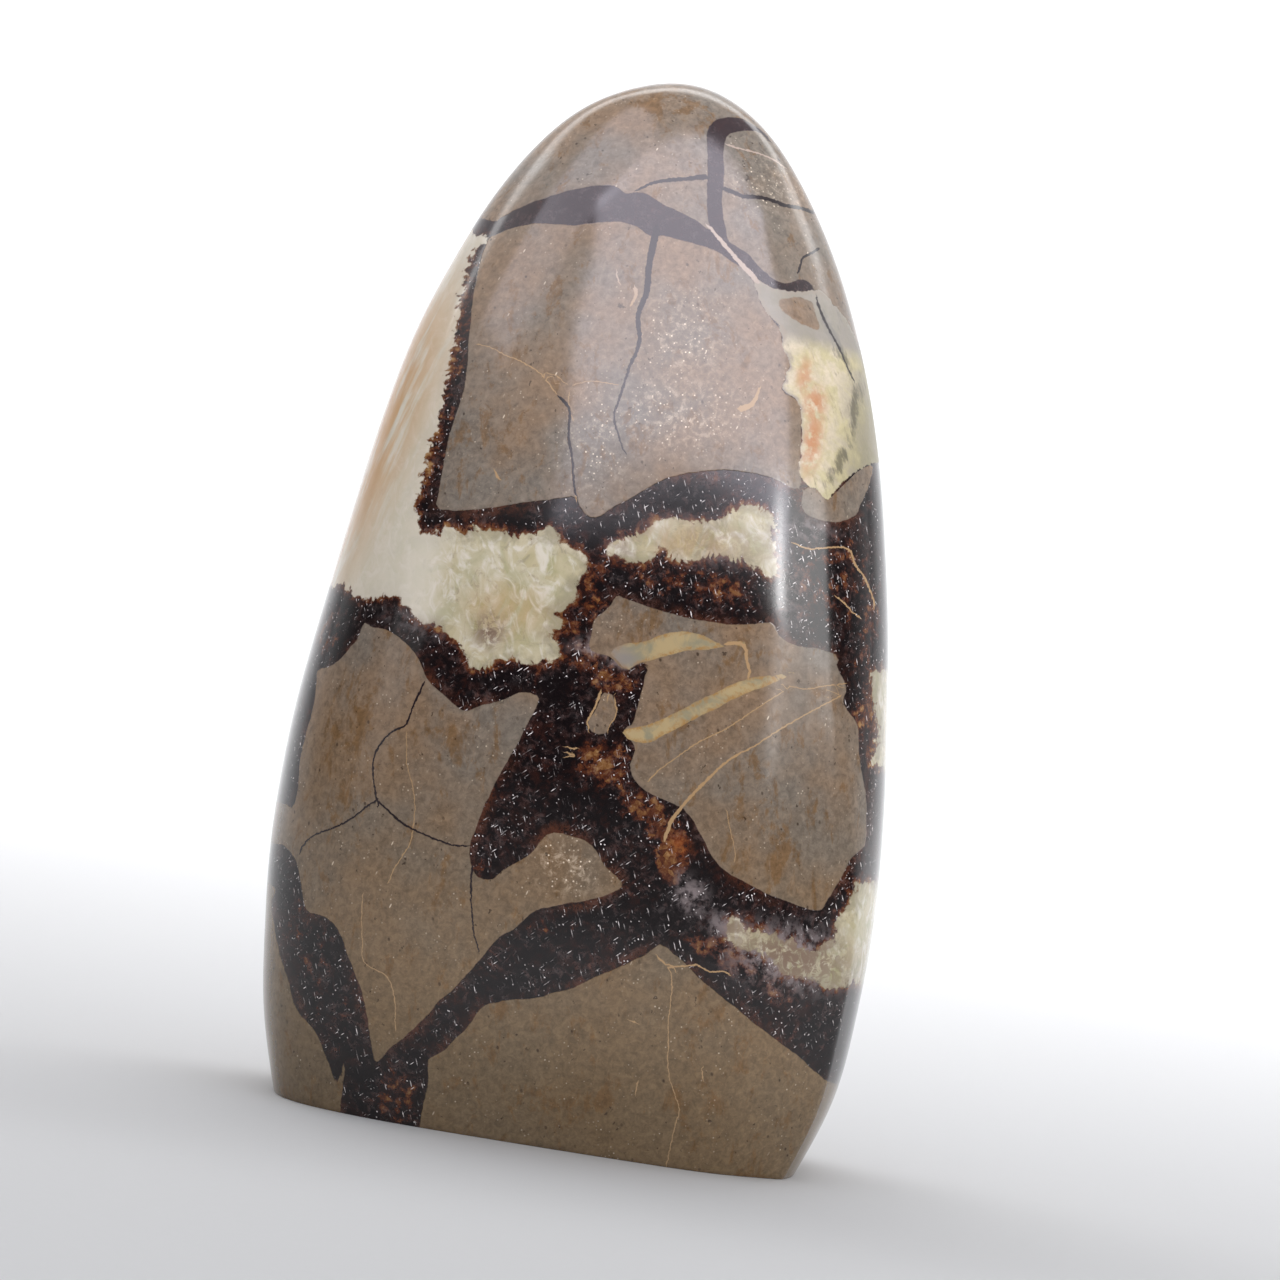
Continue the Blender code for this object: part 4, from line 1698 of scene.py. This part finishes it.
@dataclass
class Studio:
    """A pale sweep, soft lights and the camera."""

    plane: FacePlane
    roll: float = math.radians(9.2)
    focal: float = 126.6
    sweep_half_width: float = 2.0
    sweep_front: float = -1.6
    sweep_back: float = 1.3
    sweep_height: float = 0.9
    sweep_bend: float = 0.5
    sweep_steps: int = 16
    paper: Colour = (0.74, 0.74, 0.75, 1.0)
    paper_roughness: float = 0.9
    shaded_from: float = -170.0
    shaded_to: float = -330.0
    shade: float = 0.3
    aim_height: float = 0.06
    backdrop_aim: float = 0.25
    sky: Colour = (0.97, 0.98, 1.0, 1.0)
    sensor_width: float = 36.0
    clip_start: float = 0.01

    def sweep(self) -> None:
        """Adds the pale floor, bent up behind the stone into a backdrop."""
        bm = bmesh.new()
        corner = [
            bm.verts.new((-self.sweep_half_width, self.sweep_front, 0.0)),
            bm.verts.new((-self.sweep_half_width, self.sweep_back, 0.0)),
            bm.verts.new((-self.sweep_half_width, self.sweep_back, self.sweep_height)),
        ]
        bm.edges.new(corner[:2])
        bm.edges.new(corner[1:])
        bmesh.ops.bevel(
            bm, geom=[corner[1]], offset=self.sweep_bend, segments=self.sweep_steps, profile=0.5,
            affect="VERTICES", material=-1,
        )
        drawn = bmesh.ops.extrude_edge_only(bm, edges=bm.edges[:])
        moved = [v for v in drawn["geom"] if isinstance(v, bmesh.types.BMVert)]
        bmesh.ops.translate(bm, verts=moved, vec=(2.0 * self.sweep_half_width, 0.0, 0.0))
        bmesh.ops.recalc_face_normals(bm, faces=bm.faces[:])
        mesh = bpy.data.meshes.new("sweep")
        bm.to_mesh(mesh)
        bm.free()
        mesh.shade_smooth()
        sweep = bpy.data.objects.new("sweep", mesh)
        bpy.context.scene.collection.objects.link(sweep)
        material = bpy.data.materials.new("pale_paper")
        material.use_nodes = True
        bench = Bench(material.node_tree)
        shader = material.node_tree.nodes["Principled BSDF"]
        fibre = bench.noise(bench.place, 0.8, 3.0)
        lit = bench.step(bench.axes[1], self.shaded_to, self.shaded_from)
        tone = bench.times(fibre, 0.02, 0.99)
        tone = bench.times(tone, bench.times(lit, 1.0 - self.shade, self.shade))
        bench.feed(shader.inputs["Base Color"], bench.shaded(self.paper, tone))
        shader.inputs["Roughness"].default_value = self.paper_roughness
        mesh.materials.append(material)

    def lights(self, stone: bpy.types.Object) -> None:
        """Adds the softboxes whose reflections lie on the polish of the stone.

        Args:
            stone: what the flagged lights fall on.
        """
        target = Vector((0.0, 0.0, self.aim_height))
        subject = bpy.data.collections.new("subject")
        subject.objects.link(stone)
        for box in (
            Softbox("key_softbox", 18.0, 52.0, 1.0, 1.1, 0.85, 4.5, tone=(0.91, 0.88, 1.0)),
            Softbox("top_softbox", -64.0, 56.0, 1.0, 0.5, 0.7, 2.1, tone=(0.91, 0.88, 1.0)),
            Softbox("strip_light", 43.5, 23.5, 0.9, 0.06, 0.14, 18.0),
            Softbox("strip_tail", 44.0, 12.0, 0.9, 0.07, 0.2, 3.0),
            Softbox("right_softbox", 61.0, 21.0, 0.95, 0.58, 0.34, 3.7),
            Softbox("left_softbox", -56.0, 8.0, 1.0, 0.4, 0.36, 0.5),
        ):
            box.build(target, subject)
        backdrop = Vector((0.0, self.sweep_back, self.backdrop_aim))
        Softbox("backdrop_light", 0.0, 48.0, 1.0, 2.6, 0.9, 3.0, False).build(backdrop, subject)

    def world(self) -> None:
        """Adds pale surroundings that are dim only behind the camera."""
        world = bpy.data.worlds.new("studio")
        world.use_nodes = True
        bpy.context.scene.world = world
        tree = world.node_tree
        bench = Bench(tree)
        background = tree.nodes["Background"]
        direction = bench.node("ShaderNodeTexCoord").outputs["Generated"]
        x, y, z = bench.parts(direction)
        band = bench.times(bench.step(z, 0.38, 0.56), bench.step(z, 0.98, 0.66))
        light = bench.sum("MAXIMUM", bench.times(bench.step(z, 0.5, 0.8), 0.55), band)
        light = bench.sum("MAXIMUM", light, bench.step(y, 0.0, 0.8))
        background.inputs["Color"].default_value = self.sky
        bench.feed(background.inputs["Strength"], bench.times(light, 0.98, 0.05))

    def camera(self) -> None:
        """Adds the camera, rolled so that the stone leans in the frame."""
        data = bpy.data.cameras.new("camera")
        data.lens = self.focal
        data.sensor_width = self.sensor_width
        data.clip_start = self.clip_start
        camera = bpy.data.objects.new("camera", data)
        right = Vector((math.cos(self.roll), 0.0, math.sin(self.roll)))
        up = Vector((-math.sin(self.roll), 0.0, math.cos(self.roll)))
        back = right.cross(up)
        turn = Matrix((right, up, back)).transposed().to_4x4()
        camera.matrix_world = Matrix.Translation(Vector(self.plane.eye) * MM) @ turn
        bpy.context.scene.collection.objects.link(camera)
        bpy.context.scene.camera = camera

    def build(self, stone: bpy.types.Object) -> None:
        """Sets up everything round the stone.

        Args:
            stone: the finished piece.
        """
        self.camera()
        self.sweep()
        self.lights(stone)
        self.world()
        bpy.context.scene.view_settings.view_transform = "Standard"


def main() -> None:
    """Builds the studio and the stone, and reports the piece."""
    logging.basicConfig(level=logging.INFO, format="%(name)s: %(message)s")
    plane = FacePlane()
    stone = Nodule(StoneForm(), Pattern(plane), StoneFinish()).build()
    Studio(plane).build(stone)
    mesh = stone.data
    log.info("%s: %d vertices, %d faces", stone.name, len(mesh.vertices), len(mesh.polygons))


if __name__ == "__main__":
    main()
